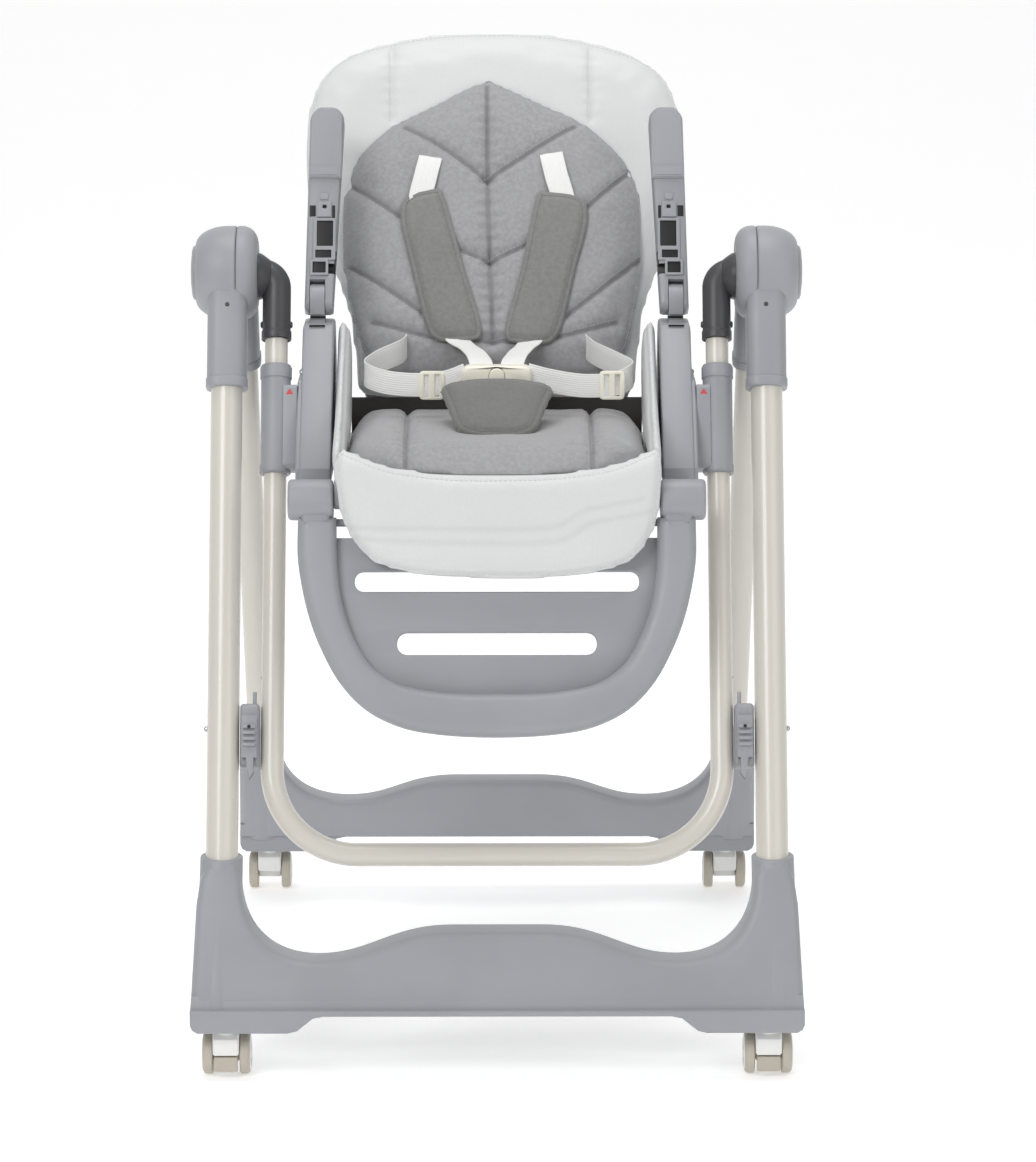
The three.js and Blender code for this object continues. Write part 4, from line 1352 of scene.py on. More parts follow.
@dataclass
class SeatCushion:
    """The seat's grey cushion, its white side walls, the white flap before it and the crotch pad."""

    chair: Chair
    flap_edge: Sequence[PLAN] = (
        (-160, 600), (-158, 556), (-150, 526), (-126, 497), (-78, 483), (0, 479), (82, 482), (131, 495),
        (155, 522), (162, 556), (163, 600), (157, 606), (142, 602), (112, 591), (60, 583), (0, 581),
        (-60, 583), (-110, 591), (-139, 602), (-154, 606))

    def cushion(self) -> None:
        """The seat cushion: three channels that run from back to front."""
        hub = self.chair.hub
        low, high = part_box("seat_pad")
        plane = Plane(Vector((0, hub.y, low.z)), math.radians(90))
        front = (low.y - hub.y) / MM
        rear = (high.y - hub.y) / MM
        outline = ((-149, front + 52), (-141, front + 26), (-124, front + 10), (-104, front - 2),
                   (-90, front - 2), (-72, front - 8), (0, front - 11), (74, front - 8), (94, front - 2),
                   (108, front - 2), (127, front + 10), (143, front + 26), (149, front + 52), (150, -60),
                   (149, 20),
                   (140, rear - 4), (60, rear), (-60, rear), (-140, rear - 4), (-149, 20), (-150, -60))
        seams = (Seam(((-90, front - 6), (-91, -60), (-92, rear)), 7.5, 7.0),
                 Seam(((94, front - 6), (95, -60), (96, rear)), 7.5, 7.0))
        pad = Pad("seat_cushion", plane, outline, -0.5, 30.5, 20.0, seams, voxel=6.0, cap=3.0,
                  fill=0.65, around=300, thread=Look.THREAD_GREY)
        pad.sewn(Look.CLOTH, "seat", "seat_pad", 4.4)

    def flap_form(self, flat: np.ndarray) -> np.ndarray:
        """How the flap leans forward below, as the footrest does, and folds back over the seat's edge."""
        below = np.clip(0.532 - flat[:, 1], 0, 1) * 0.40
        above = smooth_step(flat[:, 1], 0.585, 0.612) * 0.010
        return above - below

    def flap(self) -> None:
        """The white padded flap from the seat's front edge down over the footrest's top."""
        hub = self.chair.hub
        plane = Plane(Vector((0, hub.y, 0)), 0.0)
        seams = (Seam(((-150, 529), (-60, 529), (42, 529), (62, 532), (84, 546), (104, 551), (142, 558)),
                      0.7, 2.6, stitched=False),
                 Seam(((-144, 519), (-60, 516), (46, 516), (68, 519), (90, 533), (110, 538), (150, 545)),
                      0.6, 2.6, stitched=False))
        pad = Pad("seat_flap", plane, self.flap_edge, -192.5, 15.0, 13.0, seams, pressure=2.5, cap=2.5,
                  hem=6.0, fill=0.5, shape=self.flap_form, around=300, thread=Look.THREAD_WHITE)
        piece = dressed_soft(pad.build(), Look.LEATHER)
        pivot = self.chair.pivot("leg_rest_angle")
        for part in (piece, pad.stitching(4.8)):
            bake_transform(part)
            done(part, "", *(("seat_front_pad", "calf_pad") if part is piece else ()))

    def side_wall(self, name: str, side: float) -> None:
        """One white padded side of the seat cover, low in front and rising to the backrest."""
        hub = self.chair.hub
        low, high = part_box("side_wing_" + name)
        inner = max(abs(low.x), abs(high.x))
        plane = Plane(Vector((0, 0, 0)), 0.0)
        outline = ((-184, 580), (-186, 594), (-180, 606), (-150, 614), (-104, 626), (-60, 645), (-20, 673),
                   (10, 692), (30, 699), (44, 690), (54, 655), (57, 600), (54, 580), (-60, 578))
        pad = Pad("seat_side_wall_" + name, plane, outline, 0.0, 11.0, 8.0, (), voxel=3.6, cap=2.0, hem=6.0,
                  fill=0.5, around=220)
        piece = pad.build()
        points = coordinates(piece)
        turned = np.stack([side * (inner + points[:, 1]), points[:, 0] + hub.y, points[:, 2]], 1)
        set_coordinates(piece, turned)
        if side < 0:
            piece.data.flip_normals()
        done(dressed_soft(piece, Look.LEATHER), "seat", "side_wing_" + name)

    def crotch(self) -> None:
        """The dark pad over the strap between the legs."""
        low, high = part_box("crotch_pad")
        middle = (low + high) / 2
        plane = Plane(Vector((0, middle.y, middle.z + 0.003)), math.radians(66))
        half = ((22, -60), (36, -52), (43, -38), (49, -10), (56, 18), (58, 28), (50, 37), (28, 44))
        outline = (*((-x, y) for x, y in half), (0, 46), *reversed(half), (0, -62))
        pad = Pad("crotch_sleeve", plane, outline, 6.0, 13.0, 8.0, (), voxel=3.4, cap=2.5, hem=7.0, fill=0.5,
                  rings=18, around=180, thread=Look.THREAD_DARK)
        pad.sewn(Look.CROTCH, "seat", "crotch_pad", 3.6)

    def hinge_cover(self) -> None:
        """A dark cloth sheet of painted shade that fills the gap between the seat cushion and the backrest,
        where the shadow is deep.
        """
        hub = self.chair.hub
        line = curve_points(((60.5, 577), (62, 592), (66, 603), (72, 613)), 10, closed=False)
        width, thick = 0.301, 0.0009
        columns = np.linspace(-width / 2, width / 2, 74)
        front = np.array([(x, hub.y + y, z) for y, z in line for x in columns])
        behind = front + np.array([0, thick, 0])
        rows, across = len(line), len(columns)
        faces = []
        for row in range(rows - 1):
            for column in range(across - 1):
                a, b = row * across + column, (row + 1) * across + column
                faces.append((a, a + 1, b + 1, b))
                faces.append(tuple(rows * across + index for index in (b, b + 1, a + 1, a)))
        border = list(range(across))
        border += [row * across + across - 1 for row in range(1, rows)]
        border += [(rows - 1) * across + column for column in range(across - 2, -1, -1)]
        border += [row * across for row in range(rows - 2, 0, -1)]
        for here, after in zip(border, border[1:] + border[:1]):
            faces.append((here, rows * across + here, rows * across + after, after))
        piece = repair(new_object("hinge_cover", np.vstack([front, behind]), faces), NEAR)
        dressed(piece, "hinge_cover", Look.HINGE, 60.0)
        pivot = self.chair.pivot("recline")
        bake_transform(piece)
        done(piece, "")

    def build(self) -> None:
        """Makes every soft piece of the seat."""
        self.cushion()
        self.flap()
        self.crotch()
        self.hinge_cover()
        for name, side in SIDES:
            self.side_wall(name, side)


@dataclass
class Harness:
    """The five-point harness: webbing, buckle and adjusters."""

    chair: Chair
    width: float = 0.024
    shoulder: dict = field(default_factory=lambda: {
        "left": ((-69, -36, 276), (-69, -46, 270), (-74, -50, 248), (-80, -49, 215), (-60, -48, 120),
                 (-42, -48, 74)),
        "right": ((57, -36, 280), (57, -46, 274), (62, -50, 250), (70, -49, 215), (52, -48, 120),
                  (36, -48, 72))})
    waist: dict = field(default_factory=lambda: {
        "left": ((-92, 72, 668), (-98, 48, 665), (-124, 18, 657), (-134, -4, 650), (-116, -18, 644),
                 (-80, -21, 641), (-50, -21, 644), (-30, -19, 651)),
        "right": ((90, 72, 668), (100, 48, 663), (124, 16, 656), (138, -4, 650), (126, -18, 643),
                  (92, -22, 640), (54, -20, 645), (30, -19, 651))})

    def row(self, point: Sequence[float]) -> tuple[float, float, float]:
        """A point given in millimetres from the hub's plane, in the row frame."""
        return (point[0] * MM, self.chair.hub.y + point[1] * MM, point[2] * MM)

    def strap(self, name: str, route: Sequence[Sequence[float]], across: object) -> Piece:
        """One piece of webbing between the backrest and the buckle."""
        piece = dressed(ribbon(name, route, across, self.width), name, Look.WEBBING, 50.0)
        pivot = self.chair.pivot("recline")
        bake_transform(piece)
        return done(piece, "")

    def build(self) -> None:
        """Makes the webbing and dresses the buckle and adjusters."""
        back = self.chair.back
        for name, side in SIDES:
            upper = back.points(np.array(self.shoulder[name], float) * MM)
            lower = ((side * 24, 28, 668), (side * 17, -2, 663), (side * 15, -11.5, 657))
            route = [tuple(point) for point in upper] + [self.row(point) for point in lower]
            self.strap("shoulder_strap_" + name, route, (1.0, 0.0, 0.12 * side))
            self.strap("waist_strap_" + name, [self.row(p) for p in self.waist[name]], (0.0, 0.12, 1.0))
        crotch = [self.row(p) for p in ((0, -20, 648), (0, -46, 640), (0, -90, 618), (0, -112, 603))]
        piece = ribbon("crotch_strap", crotch, (1.0, 0.0, 0.0), 0.030)
        done(dressed(piece, "crotch_strap", Look.WEBBING, 50.0), "seat")
        skin(self.chair.frame, "buckle", Look.IVORY, 0.0022, 4)
        skin(self.chair.frame, "buckle_button", Look.IVORY, 0.001, 3)
        for name, _ in SIDES:
            skin(self.chair.frame, "waist_adjuster_" + name, Look.IVORY, 0.0008, 2)


# Hard mouldings
class Axis(Enum):
    """The direction of a slab's thickness."""

    X = "x"
    Y = "y"
    Z = "z"


def slab(name: str, axis: Axis, outline: Sequence[PLAN], low: float, high: float, edge: float,
         holes: Sequence[Sequence[PLAN]] = ()) -> Piece:
    """A flat moulding like plate, with its thickness along any axis.

    Args:
        name: The object's name.
        axis: The direction of its thickness.
        outline: Its corners as (y, z), (x, z) or (x, y), in millimetres.
        low: Its lowest place on the axis, in millimetres.
        high: Its highest place on the axis, in millimetres.
        edge: The radius of its edges, in millimetres.
        holes: The corners of the openings through it.

    Returns:
        The closed mesh.
    """
    if axis is Axis.Z:
        made = plate(name, outline, -high, -low, edge, holes)
        return moved(made, Matrix.Rotation(math.radians(-90), 4, "X"))
    made = plate(name, outline, low, high, edge, holes)
    if axis is Axis.X:
        moved(made, Matrix(((0, 1, 0, 0), (1, 0, 0, 0), (0, 0, 1, 0), (0, 0, 0, 1))))
    return made


@dataclass(frozen=True)
class LegPair:
    """One leaning pair of legs with its foot and its halves of the hubs. Sizes are in millimetres."""

    end: str
    direction: float
    lean: float
    leg_x: float
    tube: float
    foot_y: float
    foot_half: float
    socket: PLAN
    body: str

    def plane(self, hub: Vector) -> Plane:
        """The pair's leaning frame at the hub."""
        return Plane(hub, -self.direction * math.radians(self.lean))


FRONT = LegPair("front", -1.0, 22.4, 271.5, 16.0, -307.0, 300.0, (40.0, 36.0), "front_frame")
REAR = LegPair("rear", 1.0, 26.7, 262.0, 14.0, 371.0, 289.0, (34.0, 33.0), "rear_frame")


@dataclass
class AFrame:
    """Both leg pairs: tubes, feet, hubs, fold buttons and latches."""

    chair: Chair
    offset: float = 20.0
    top: float = 50.0
    foot_top: float = 207.0
    crest: float = 141.0
    dip: float = 115.0
    part_line: float = 73.0
    bottom: float = 50.0
    arch: float = 67.0
    half_depth: float = 21.5
    base_half: float = 22.0
    leg_bottom: float = 102.0

    def leg(self, pair: LegPair, name: str, side: float) -> None:
        """One painted tube."""
        hub = self.chair.hub
        lean = math.radians(pair.lean)
        length = (hub.z / MM + self.offset * math.sin(lean) - self.leg_bottom) / math.cos(lean)
        y = pair.direction * self.offset
        ends = np.array([[side * pair.leg_x, y, -z] for z in np.linspace(self.top, length, 3)]) * MM
        piece = tube("leg", pair.plane(hub).points(ends), pair.tube * MM, 48, wall=0.0015)
        node = f"{pair.end}_leg_{name}"
        done(dressed(piece, node + "_tube", Look.TUBE, 50.0), pair.body, node)

    def foot_outline(self, pair: LegPair) -> list[PLAN]:
        """The front view of a foot's upper moulding: two sockets and a wavy cross-beam."""
        inner, outer = pair.leg_x - 20, pair.leg_x + 20.5
        half = [(pair.foot_half, self.part_line), (outer + 3.4, 165), (outer, 188),
                (pair.leg_x + 13, self.foot_top - 2), (pair.leg_x - 13, self.foot_top - 2),
                (inner + 0.4, 190)]
        half += bezier(half[-1], (inner + 1, 146), (inner - 26, self.dip), (inner - 76, self.dip))
        half += bezier(half[-1], (inner - 126, self.dip), (105, self.crest), (45, self.crest))
        return half + [(-x, z) for x, z in reversed(half)]

    def foot(self, pair: LegPair) -> None:
        """The two mouldings of one foot."""
        hub_y = self.chair.hub.y
        lean = math.radians(pair.lean)
        upper = slab("foot", Axis.Y, self.foot_outline(pair), -self.half_depth, self.half_depth, 9)
        slope = -pair.direction * math.tan(lean)
        middle = hub_y + (pair.foot_y + pair.direction * 60 * math.tan(lean)) * MM
        shear = Matrix(((1, 0, 0, 0), (0, 1, slope, middle), (0, 0, 1, 0), (0, 0, 0, 1)))
        columns = []
        for side in (-1.0, 1.0):
            stops = ((self.foot_top + 0.4, 0.2), (170, 0.8), (130, 1.6), (95, 2.2), (self.bottom + 14, 2.6))
            route = np.array([[side * (pair.leg_x + out), 0, z] for z, out in stops]) * MM
            column = tube("column", route, lambda share: (21.0 + 1.5 * share) * MM, 56)
            columns.append(bevelled(column, 0.0012, 3, 50.0))
        low, top, w = self.part_line - 4, self.part_line + 12, pair.foot_half
        skirt = slab("skirt", Axis.Y, [(-w, low), (w, low), (w - 1.1, top), (-w + 1.1, top)],
                     0.2 - self.half_depth, self.half_depth - 0.2, 0.8)
        upper = moved(join("foot", (upper, skirt, *columns)), shear)
        node = pair.end + "_foot"
        done(dressed(upper, node + "_moulding", Look.GREY), pair.body, node)
        half = [(170, self.arch), (180, self.arch - 2), (196, self.bottom + 2), (205, self.bottom),
                (w - 7, self.bottom), (w - 2, 53), (w, 58), (w, self.part_line - 0.6)]
        outline = [(-x, z) for x, z in reversed(half)] + half
        y = hub_y / MM + pair.foot_y
        base = slab("base", Axis.Y, outline, y - self.base_half, y + self.base_half, 1.2)
        done(dressed(base, node + "_base_moulding", Look.GREY), pair.body, node + "_base")

    def socket(self, pair: LegPair, x: float, end: float) -> Piece:
        """The column that a leg plugs into under a hub, with a thicker lip, in the pair's plane."""
        w, d = pair.socket
        y = pair.direction * self.offset
        body = slab("socket", Axis.Z, rounded(x - w / 2, x + w / 2, y - d / 2, y + d / 2, 13), -end, -18, 1.5)
        lip = slab("lip", Axis.Z, rounded(x - w / 2 - 1, x + w / 2 + 1, y - d / 2 - 1, y + d / 2 + 1, 14),
                   -end - 1, -end + 9, 1.2)
        return join("socket", (body, lip))

    def hub(self, name: str, side: float) -> None:
        """Both halves of one hub and its fold button."""
        hub = self.chair.hub
        turns = np.linspace(0, math.pi / 2, 16)
        dome = [(28.4 + 19.1 * math.cos(turn), 272 + 33 * math.sin(turn)) for turn in turns]
        profile = [(0, 263.3), (46.4, 263.3), (47.5, 264.6), *dome, (28.2, 304.4), (28.1, 298), (0, 298)]
        disc = lathe("disc", profile, 96)
        housing = join("housing", (disc, self.socket(FRONT, FRONT.leg_x, 125)))
        mirror_x(housing, side)
        moved(housing, FRONT.plane(hub).matrix())
        node = "hub_housing_" + name
        done(dressed(housing, node + "_shell", Look.GREY), FRONT.body, node)
        turns = np.linspace(math.pi / 2, 0, 12)
        root = [(31 + 16.5 * math.cos(turn), 258 - 16 * math.sin(turn)) for turn in turns]
        inner = [(0, 242), *root, (47.5, 261.4), (46.4, 262.7), (0, 262.7)]
        rear = join("rear", (lathe("disc", inner, 96), self.socket(REAR, REAR.leg_x, 125)))
        mirror_x(rear, side)
        moved(rear, REAR.plane(hub).matrix())
        node = "rear_hub_" + name
        done(dressed(rear, node + "_shell", Look.GREY), REAR.body, node)
        press = [(0, 302.6), (27.4, 302.6), (27.5, 306), (26.6, 307.6), (24, 308.6), (15, 309.6), (8, 309.9),
                 (0, 310)]
        button = mirror_x(lathe("button", press, 72), side)
        moved(button, Matrix.Translation(hub))
        node = "fold_button_" + name
        done(dressed(button, node + "_cap", Look.GREY), node, node)

    def slider(self, name: str) -> None:
        """The latch's ribbed grey slider with its black hook."""
        piece = skin(self.chair.frame, "latch_slider_" + name, Look.GREY, 0.0007, 2)
        piece.data.materials.append(finish(Look.BLACK))
        low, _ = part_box("latch_body_" + name)
        for face in piece.data.polygons:
            face.material_index = int(face.center.z < low.z + 0.010)

    def build(self) -> None:
        """Makes both leg pairs."""
        for pair in (FRONT, REAR):
            self.foot(pair)
            for name, side in SIDES:
                self.leg(pair, name, side)
        for name, side in SIDES:
            self.hub(name, side)
            skin(self.chair.frame, "latch_body_" + name, Look.GREY, 0.0016, 3)
            self.slider(name)
            coated(self.chair.frame["nodes"]["hub_axle_" + name], Look.STEEL)


@dataclass
class Rail:
    """The U-shaped rail and its dark elbows. Sizes are in millimetres in the rail's own leaning frame."""

    chair: Chair
    x: float = 223.0
    radius: float = 11.5
    end: float = 597.0
    bend: float = 85.0
    elbow_radius: float = 14.3
    elbow_end: float = 71.0
    start: float = 241.7

    def rail(self) -> None:
        """The bent tube."""
        corners = [(-self.x, 0, -34), (-self.x, 0, -self.end), (self.x, 0, -self.end), (self.x, 0, -34)]
        route = bent(np.array(corners) * MM, self.bend * MM, 20)
        piece = tube("rail", self.chair.rail.points(route), self.radius * MM, 40, wall=0.0014)
        done(dressed(piece, "seat_rail_tube", Look.TUBE, 50.0), "rail", "seat_rail")

    def elbow(self, name: str, side: float) -> None:
        """The bend between a hub and the rail, its root collar, end ring and side rivet."""
        corners = [(self.start, 0, 0), (self.x, 0, 0), (self.x, 0, -self.elbow_end)]
        route = bent(np.array(corners) * MM, (self.start - self.x - 2) * MM, 16)
        body = tube("elbow", route, self.elbow_radius * MM, 40)
        flare = [(0, 228.5), (15, 228.5), (17, 230), (20, 234), (23, 238), (24, self.start), (0, self.start)]
        collar = lathe("collar", flare, 64)
        moved(collar, Matrix.Translation((0, 0, -4 * MM)))
        ring = tube("ring", np.array([[self.x, 0, -z] for z in (self.elbow_end - 9, self.elbow_end)]) * MM,
                    (self.elbow_radius + 0.9) * MM, 40)
        bevelled(ring, 0.0006)
        stops = ((0, -16.4), (2.4, -16.2), (3.4, -15), (3.4, 15), (2.4, 16.2), (0, 16.4))
        rivet = lathe("rivet", [(reach, self.x + out) for reach, out in stops], 24)
        moved(rivet, Matrix.Translation((0, 0, -55 * MM)))
        piece = join("elbow", (body, collar, ring, rivet))
        mirror_x(piece, side)
        moved(piece, self.chair.rail.matrix())
        done(dressed(piece, "elbow_bend_" + name, Look.DARK, 40.0), "rail", "elbow_" + name)

    def build(self) -> None:
        """Makes the rail and both elbows."""
        self.rail()
        for name, side in SIDES:
            self.elbow(name, side)


@dataclass
class Footrest:
    """The footrest: a thick rolled rim round a recessed web with three slots."""

    chair: Chair
    rim: float = 13.0
    knuckle: float = 18.0
    slots: Sequence[tuple[float, float, float]] = ((170, 25, 41), (140, 73, 93), (98, 134, 156))
    outer_stops: Sequence[PLAN] = ((196, -20), (196, -60), (192, -88), (185, -118), (174, -148), (154, -185),
                                   (128, -212), (94, -229), (58, -236), (0, -239))
    inner_stops: Sequence[PLAN] = ((158, -20), (157, -66), (153, -100), (142, -136), (124, -167), (99, -185),
                                   (66, -193), (32, -196), (0, -196))

    def edge(self, stops: Sequence[PLAN], shrink: float = 0.0) -> list[PLAN]:
        """A smooth edge through the stops and their mirror images, from top right round to top left."""
        moved_in = [(x + shrink * (x > 0), z - shrink * (z < -120)) for x, z in stops]
        whole = moved_in + [(-x, z) for x, z in reversed(moved_in[:-1])]
        return [tuple(point) for point in curve_points(whole, 90, closed=False) / MM]

    def build(self) -> None:
        """Makes the footrest in its leaning frame."""
        rim = slab("rim", Axis.Y, self.edge(self.outer_stops) + list(reversed(self.edge(self.inner_stops))),
                   -self.rim, self.rim, 11.5)
        holes = [rounded(-half, half, -high, -low, (high - low) / 2 - 1) for half, low, high in self.slots]
        web = slab("web", Axis.Y, self.edge(self.inner_stops, 8), 5, self.rim - 1, 1.6, holes)
        parts = [rim, web]
        for side in (-1.0, 1.0):
            outline = rounded(-self.knuckle, self.knuckle, -self.knuckle - 4, self.knuckle, 16)
            hub = mirror_x(slab("knuckle", Axis.X, outline, 161, 206, 4), side)
            arm = mirror_x(slab("arm", Axis.X, rounded(-11, 11, -36, -6, 3), 164, 193, 5), side)
            parts += [hub, arm]
        piece = moved(join("footrest", parts), self.chair.leg_rest.matrix())
        done(dressed(piece, "footrest_moulding", Look.GREY, 40.0), "leg_rest", "footrest")


@dataclass
class Armrest:
    """One folding armrest: its body, cover plate and boss, with painted shade in its windows, notches and
    hole.

    Sizes are in millimetres in its own leaning frame.
    """

    chair: Chair
    name: str
    side: float
    depth: float = 14.0
    corner: float = 4.2
    pocket_area: float = 0.00052

    def body(self) -> Piece:
        """A copy of the frame's solid in the local frame, its top corners rounded and painted shade in its
        pockets.
        """
        source = self.chair.frame["nodes"]["armrest_" + self.name]
        copy = coated(linked("armrest", source.data.copy()))
        moved(copy, self.chair.armrest(self.name).matrix().inverted())
        mirror_x(copy, self.side)
        with edited(copy) as work:
            merge_solid(work)
            corners = [edge for edge in work.edges
                       if min(v.co.z for v in edge.verts) > 0.19
                       and abs((edge.verts[0].co - edge.verts[1].co).y) > 0.002
                       and edge.calc_face_angle(0.0) > 0.35]
            bmesh.ops.bevel(work, geom=corners, offset=self.corner * MM, segments=4, profile=0.5,
                            affect="EDGES")
        coated(bevelled(copy, 0.0012, 2), Look.GREY, Look.BLACK)
        # Small faces inside the pockets get the black finish: painted shade in the recesses.
        for face in copy.data.polygons:
            x, y, z = face.center / MM
            pocket = 163.5 < x < 179.5 and 22 < z < 99 and -self.depth + 0.8 < y < 6
            face.material_index = int(pocket and face.area < self.pocket_area)
        return copy

    def build(self) -> None:
        """Makes the armrest with its details, and stands it for the frame's solid."""
        front = -self.depth

        def panel(look: Look, outline: Sequence[PLAN], out: float, deep: float,
                  holes: Sequence[Sequence[PLAN]] = ()) -> Piece:
            """One small plate on the front face, out millimetres proud of it."""
            return coated(slab("panel", Axis.Y, outline, front - out, front + deep, 0.25, holes), look)

        parts = [
            self.body(),
            panel(Look.GREY, rounded(160.5, 192.5, 127, 139, 1.2), 3.6, 1),
            panel(Look.GREY, rounded(163, 191, 129, 136.5, 1.0), 4.2, 1),
            panel(Look.GREY, rounded(169.6, 184, 84, 100.5, 1), 2.2, 1,
                  [rounded(174, 178.6, 93, 97.2, 1.8)]),
            # The black plates are painted shade: in the boss's hole, the notches beside it and the windows.
            panel(Look.BLACK, rounded(172, 181, 91, 99, 0.6), 0.35, 0.5),
            panel(Look.GREY, rounded(172.5, 181, 103.5, 110, 1.5), 1.0, 1),
            panel(Look.BLACK, rounded(185.4, 191.6, 85, 97, 0.8), 0.3, 0.5),
            panel(Look.BLACK, rounded(165.6, 168.6, 83, 97, 0.8), 0.3, 0.5),
            panel(Look.BLACK, rounded(166, 186.5, 38.6, 81.4, 0.8), 0.3, 0.5),
            panel(Look.GREY, rounded(164.8, 187.6, 37.4, 82.6, 1), 1.6, -0.4,
                  [rounded(167.4, 184, 52.5, 80, 0.8), rounded(169, 185.4, 39.8, 48.4, 0.8)]),
            panel(Look.BLACK, rounded(173.6, 189, 22.6, 36.4, 0.6), 0.3, 0.5),
            panel(Look.GREY, rounded(172, 190.4, 21, 37.6, 1), 2.4, -0.4,
                  [rounded(174.6, 188, 23.4, 35.4, 0.8)]),
        ]
        piece = join("armrest", parts)
        mirror_x(piece, self.side)
        moved(piece, self.chair.armrest(self.name).matrix())
        node = "armrest_" + self.name
        done(dressed(piece, node + "_shell", Look.GREY), self.chair.frame["nodes"][node]["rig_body"], node)


@dataclass
class Fasteners:
    """Rivet heads, screw heads, and flat dark discs of painted shade in the rear legs' holes, each kind
    placed as one piece on its body.
    """

    chair: Chair

    def heads(self, name: str, look: Look, size: PLAN, spots: Sequence[tuple]) -> None:
        """Places heads where straight looks from outside meet a frame solid.

        Args:
            name: The piece's name.
            look: Its finish.
            size: The head's radius and height in millimetres.
            spots: For each, the solid's name, the start point in metres and the look's direction.
        """
        runs = []
        for node, start, way in spots:
            hit = surface_hit(self.chair.frame["nodes"][node], start, way)
            if hit is None:
                log.info("%s: nothing met on %s", name, node)
                continue
            place, normal = hit
            runs.append((np.array([place]), np.array([normal])))
        if runs:
            piece = Repeats(name, dome_item(size[0] * MM, size[1] * MM), look).make(runs)
            done(piece, self.chair.frame["nodes"][spots[0][0]]["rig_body"])

    def build(self) -> None:
        """Places every kind."""
        hub = self.chair.hub
        front, rear = FRONT.plane(hub), REAR.plane(hub)
        into, out = (0.0, 1.0, 0.0), (0.0, -1.0, 0.0)
        leg_rivets, leg_holes, hub_screws, panel_screws, shell_screws = [], [], [], [], []
        for name, side in SIDES:
            place = front.points(np.array([[side * 0.33, -0.020, -0.472]]))[0]
            leg_rivets.append((f"front_leg_{name}", place, (-side, 0.0, 0.0)))
            place = rear.points(np.array([[side * 0.257, -0.2, -0.540]]))[0]
            way = rear.points(np.array([[0, 1, 0]]))[0] - np.array(hub)
            leg_holes.append((f"rear_leg_{name}", place, way))
            hub_screws.append((f"hub_housing_{name}", (side * 0.271, -0.3, 0.728), into))
            low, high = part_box("latch_slider_" + name)
            spot = ((low.x + high.x) / 2, -0.4, (low.z + high.z) / 2 + 0.021)
            pin = ("latch_slider_" + name, spot, into)
            self.heads("latch_pin_" + name, Look.BLACK, (1.8, 0.6), [pin])
            for z in (0.600, 0.655):
                panel_screws.append(("side_panel_" + name, (side * 0.3, -0.06, z), (-side, 0.0, 0.0)))
            for z in (0.66, 0.78, 0.90):
                shell_screws.append(("backrest_shell", (side * 0.12, 0.6, z), out))
        self.heads("front_leg_rivets", Look.STEEL, (3.2, 1.5), leg_rivets)
        # The rear legs' holes are flat dark discs: painted shade in the holes.
        self.heads("rear_leg_plugs", Look.DARK, (2.6, 0.35), leg_holes)
        self.heads("hub_screws", Look.DARK, (2.4, 0.4), hub_screws)
        self.heads("side_panel_screws", Look.STEEL, (3.4, 1.2), panel_screws)
        self.heads("back_shell_screws", Look.STEEL, (3.6, 1.3), shell_screws)


@dataclass
class Carriage:
    """The seat's hard pieces: sleeves on the rail, side panels, armrests, pan and backrest shell."""

    chair: Chair

    def marker(self, name: str, side: float) -> None:
        """The small red height marker on the web beside the sleeve."""
        x, z = side * 0.2085, 0.640
        hit = surface_hit(self.chair.frame["nodes"]["slide_bracket_" + name], (x, -0.5, z), (0, 1, 0))
        if hit is None:
            log.info("height_marker_%s: no surface", name)
            return
        piece = slab("marker", Axis.Y, [(-5.5, -3.2), (5.5, -3.2), (0, 4.2)], -0.5, 0.5, 0.2)
        moved(piece, Matrix.Translation((x, hit[0].y, z)))
        done(dressed(piece, "height_marker_" + name, Look.MARKER), "seat")

    def slot(self, name: str, side: float) -> None:
        """Painted shade for the slot on the front of a side panel's top, under the armrest's hinge: thin
        black plates where the slot is.
        """
        parts = []
        for low, high in ((696.0, 702.5), (704.0, 706.5)):
            x, z = side * 0.1825, (low + high) / 2 * MM
            hit = surface_hit(self.chair.frame["nodes"]["side_panel_" + name], (x, -0.5, z), (0, 1, 0))
            if hit is None:
                continue
            half = (high - low) / 2
            piece = slab("slot", Axis.Y, rounded(-8, 8, -half, half, 0.6), -0.3, 0.3, 0.1)
            tilt = math.atan2(-hit[1].z, -hit[1].y)
            parts.append(moved(piece, Matrix.Translation((x, hit[0].y, z)) @ Matrix.Rotation(-tilt, 4, "X")))
        if parts:
            done(dressed(join("slot", parts), "side_panel_slot_" + name, Look.BLACK), "seat")

    def build(self) -> None:
        """Dresses the seat's mouldings."""
        frame = self.chair.frame
        for name, side in SIDES:
            self.marker(name, side)
            self.slot(name, side)
            skin(frame, "slide_bracket_" + name, Look.GREY, 0.0012, 3)
            skin(frame, "side_panel_" + name, Look.GREY, 0.0014, 3)
            Armrest(self.chair, name, side).build()
            skin(frame, "height_button_" + name, Look.DARK, 0.0008, 2)
        skin(frame, "seat_pan", Look.GREY, 0.0012, 2)
        skin(frame, "backrest_shell", Look.GREY, 0.0016, 3)
        skin(frame, "recline_lever", Look.DARK, 0.001, 3)
        coated(frame["nodes"]["recline_rod"], Look.STEEL)


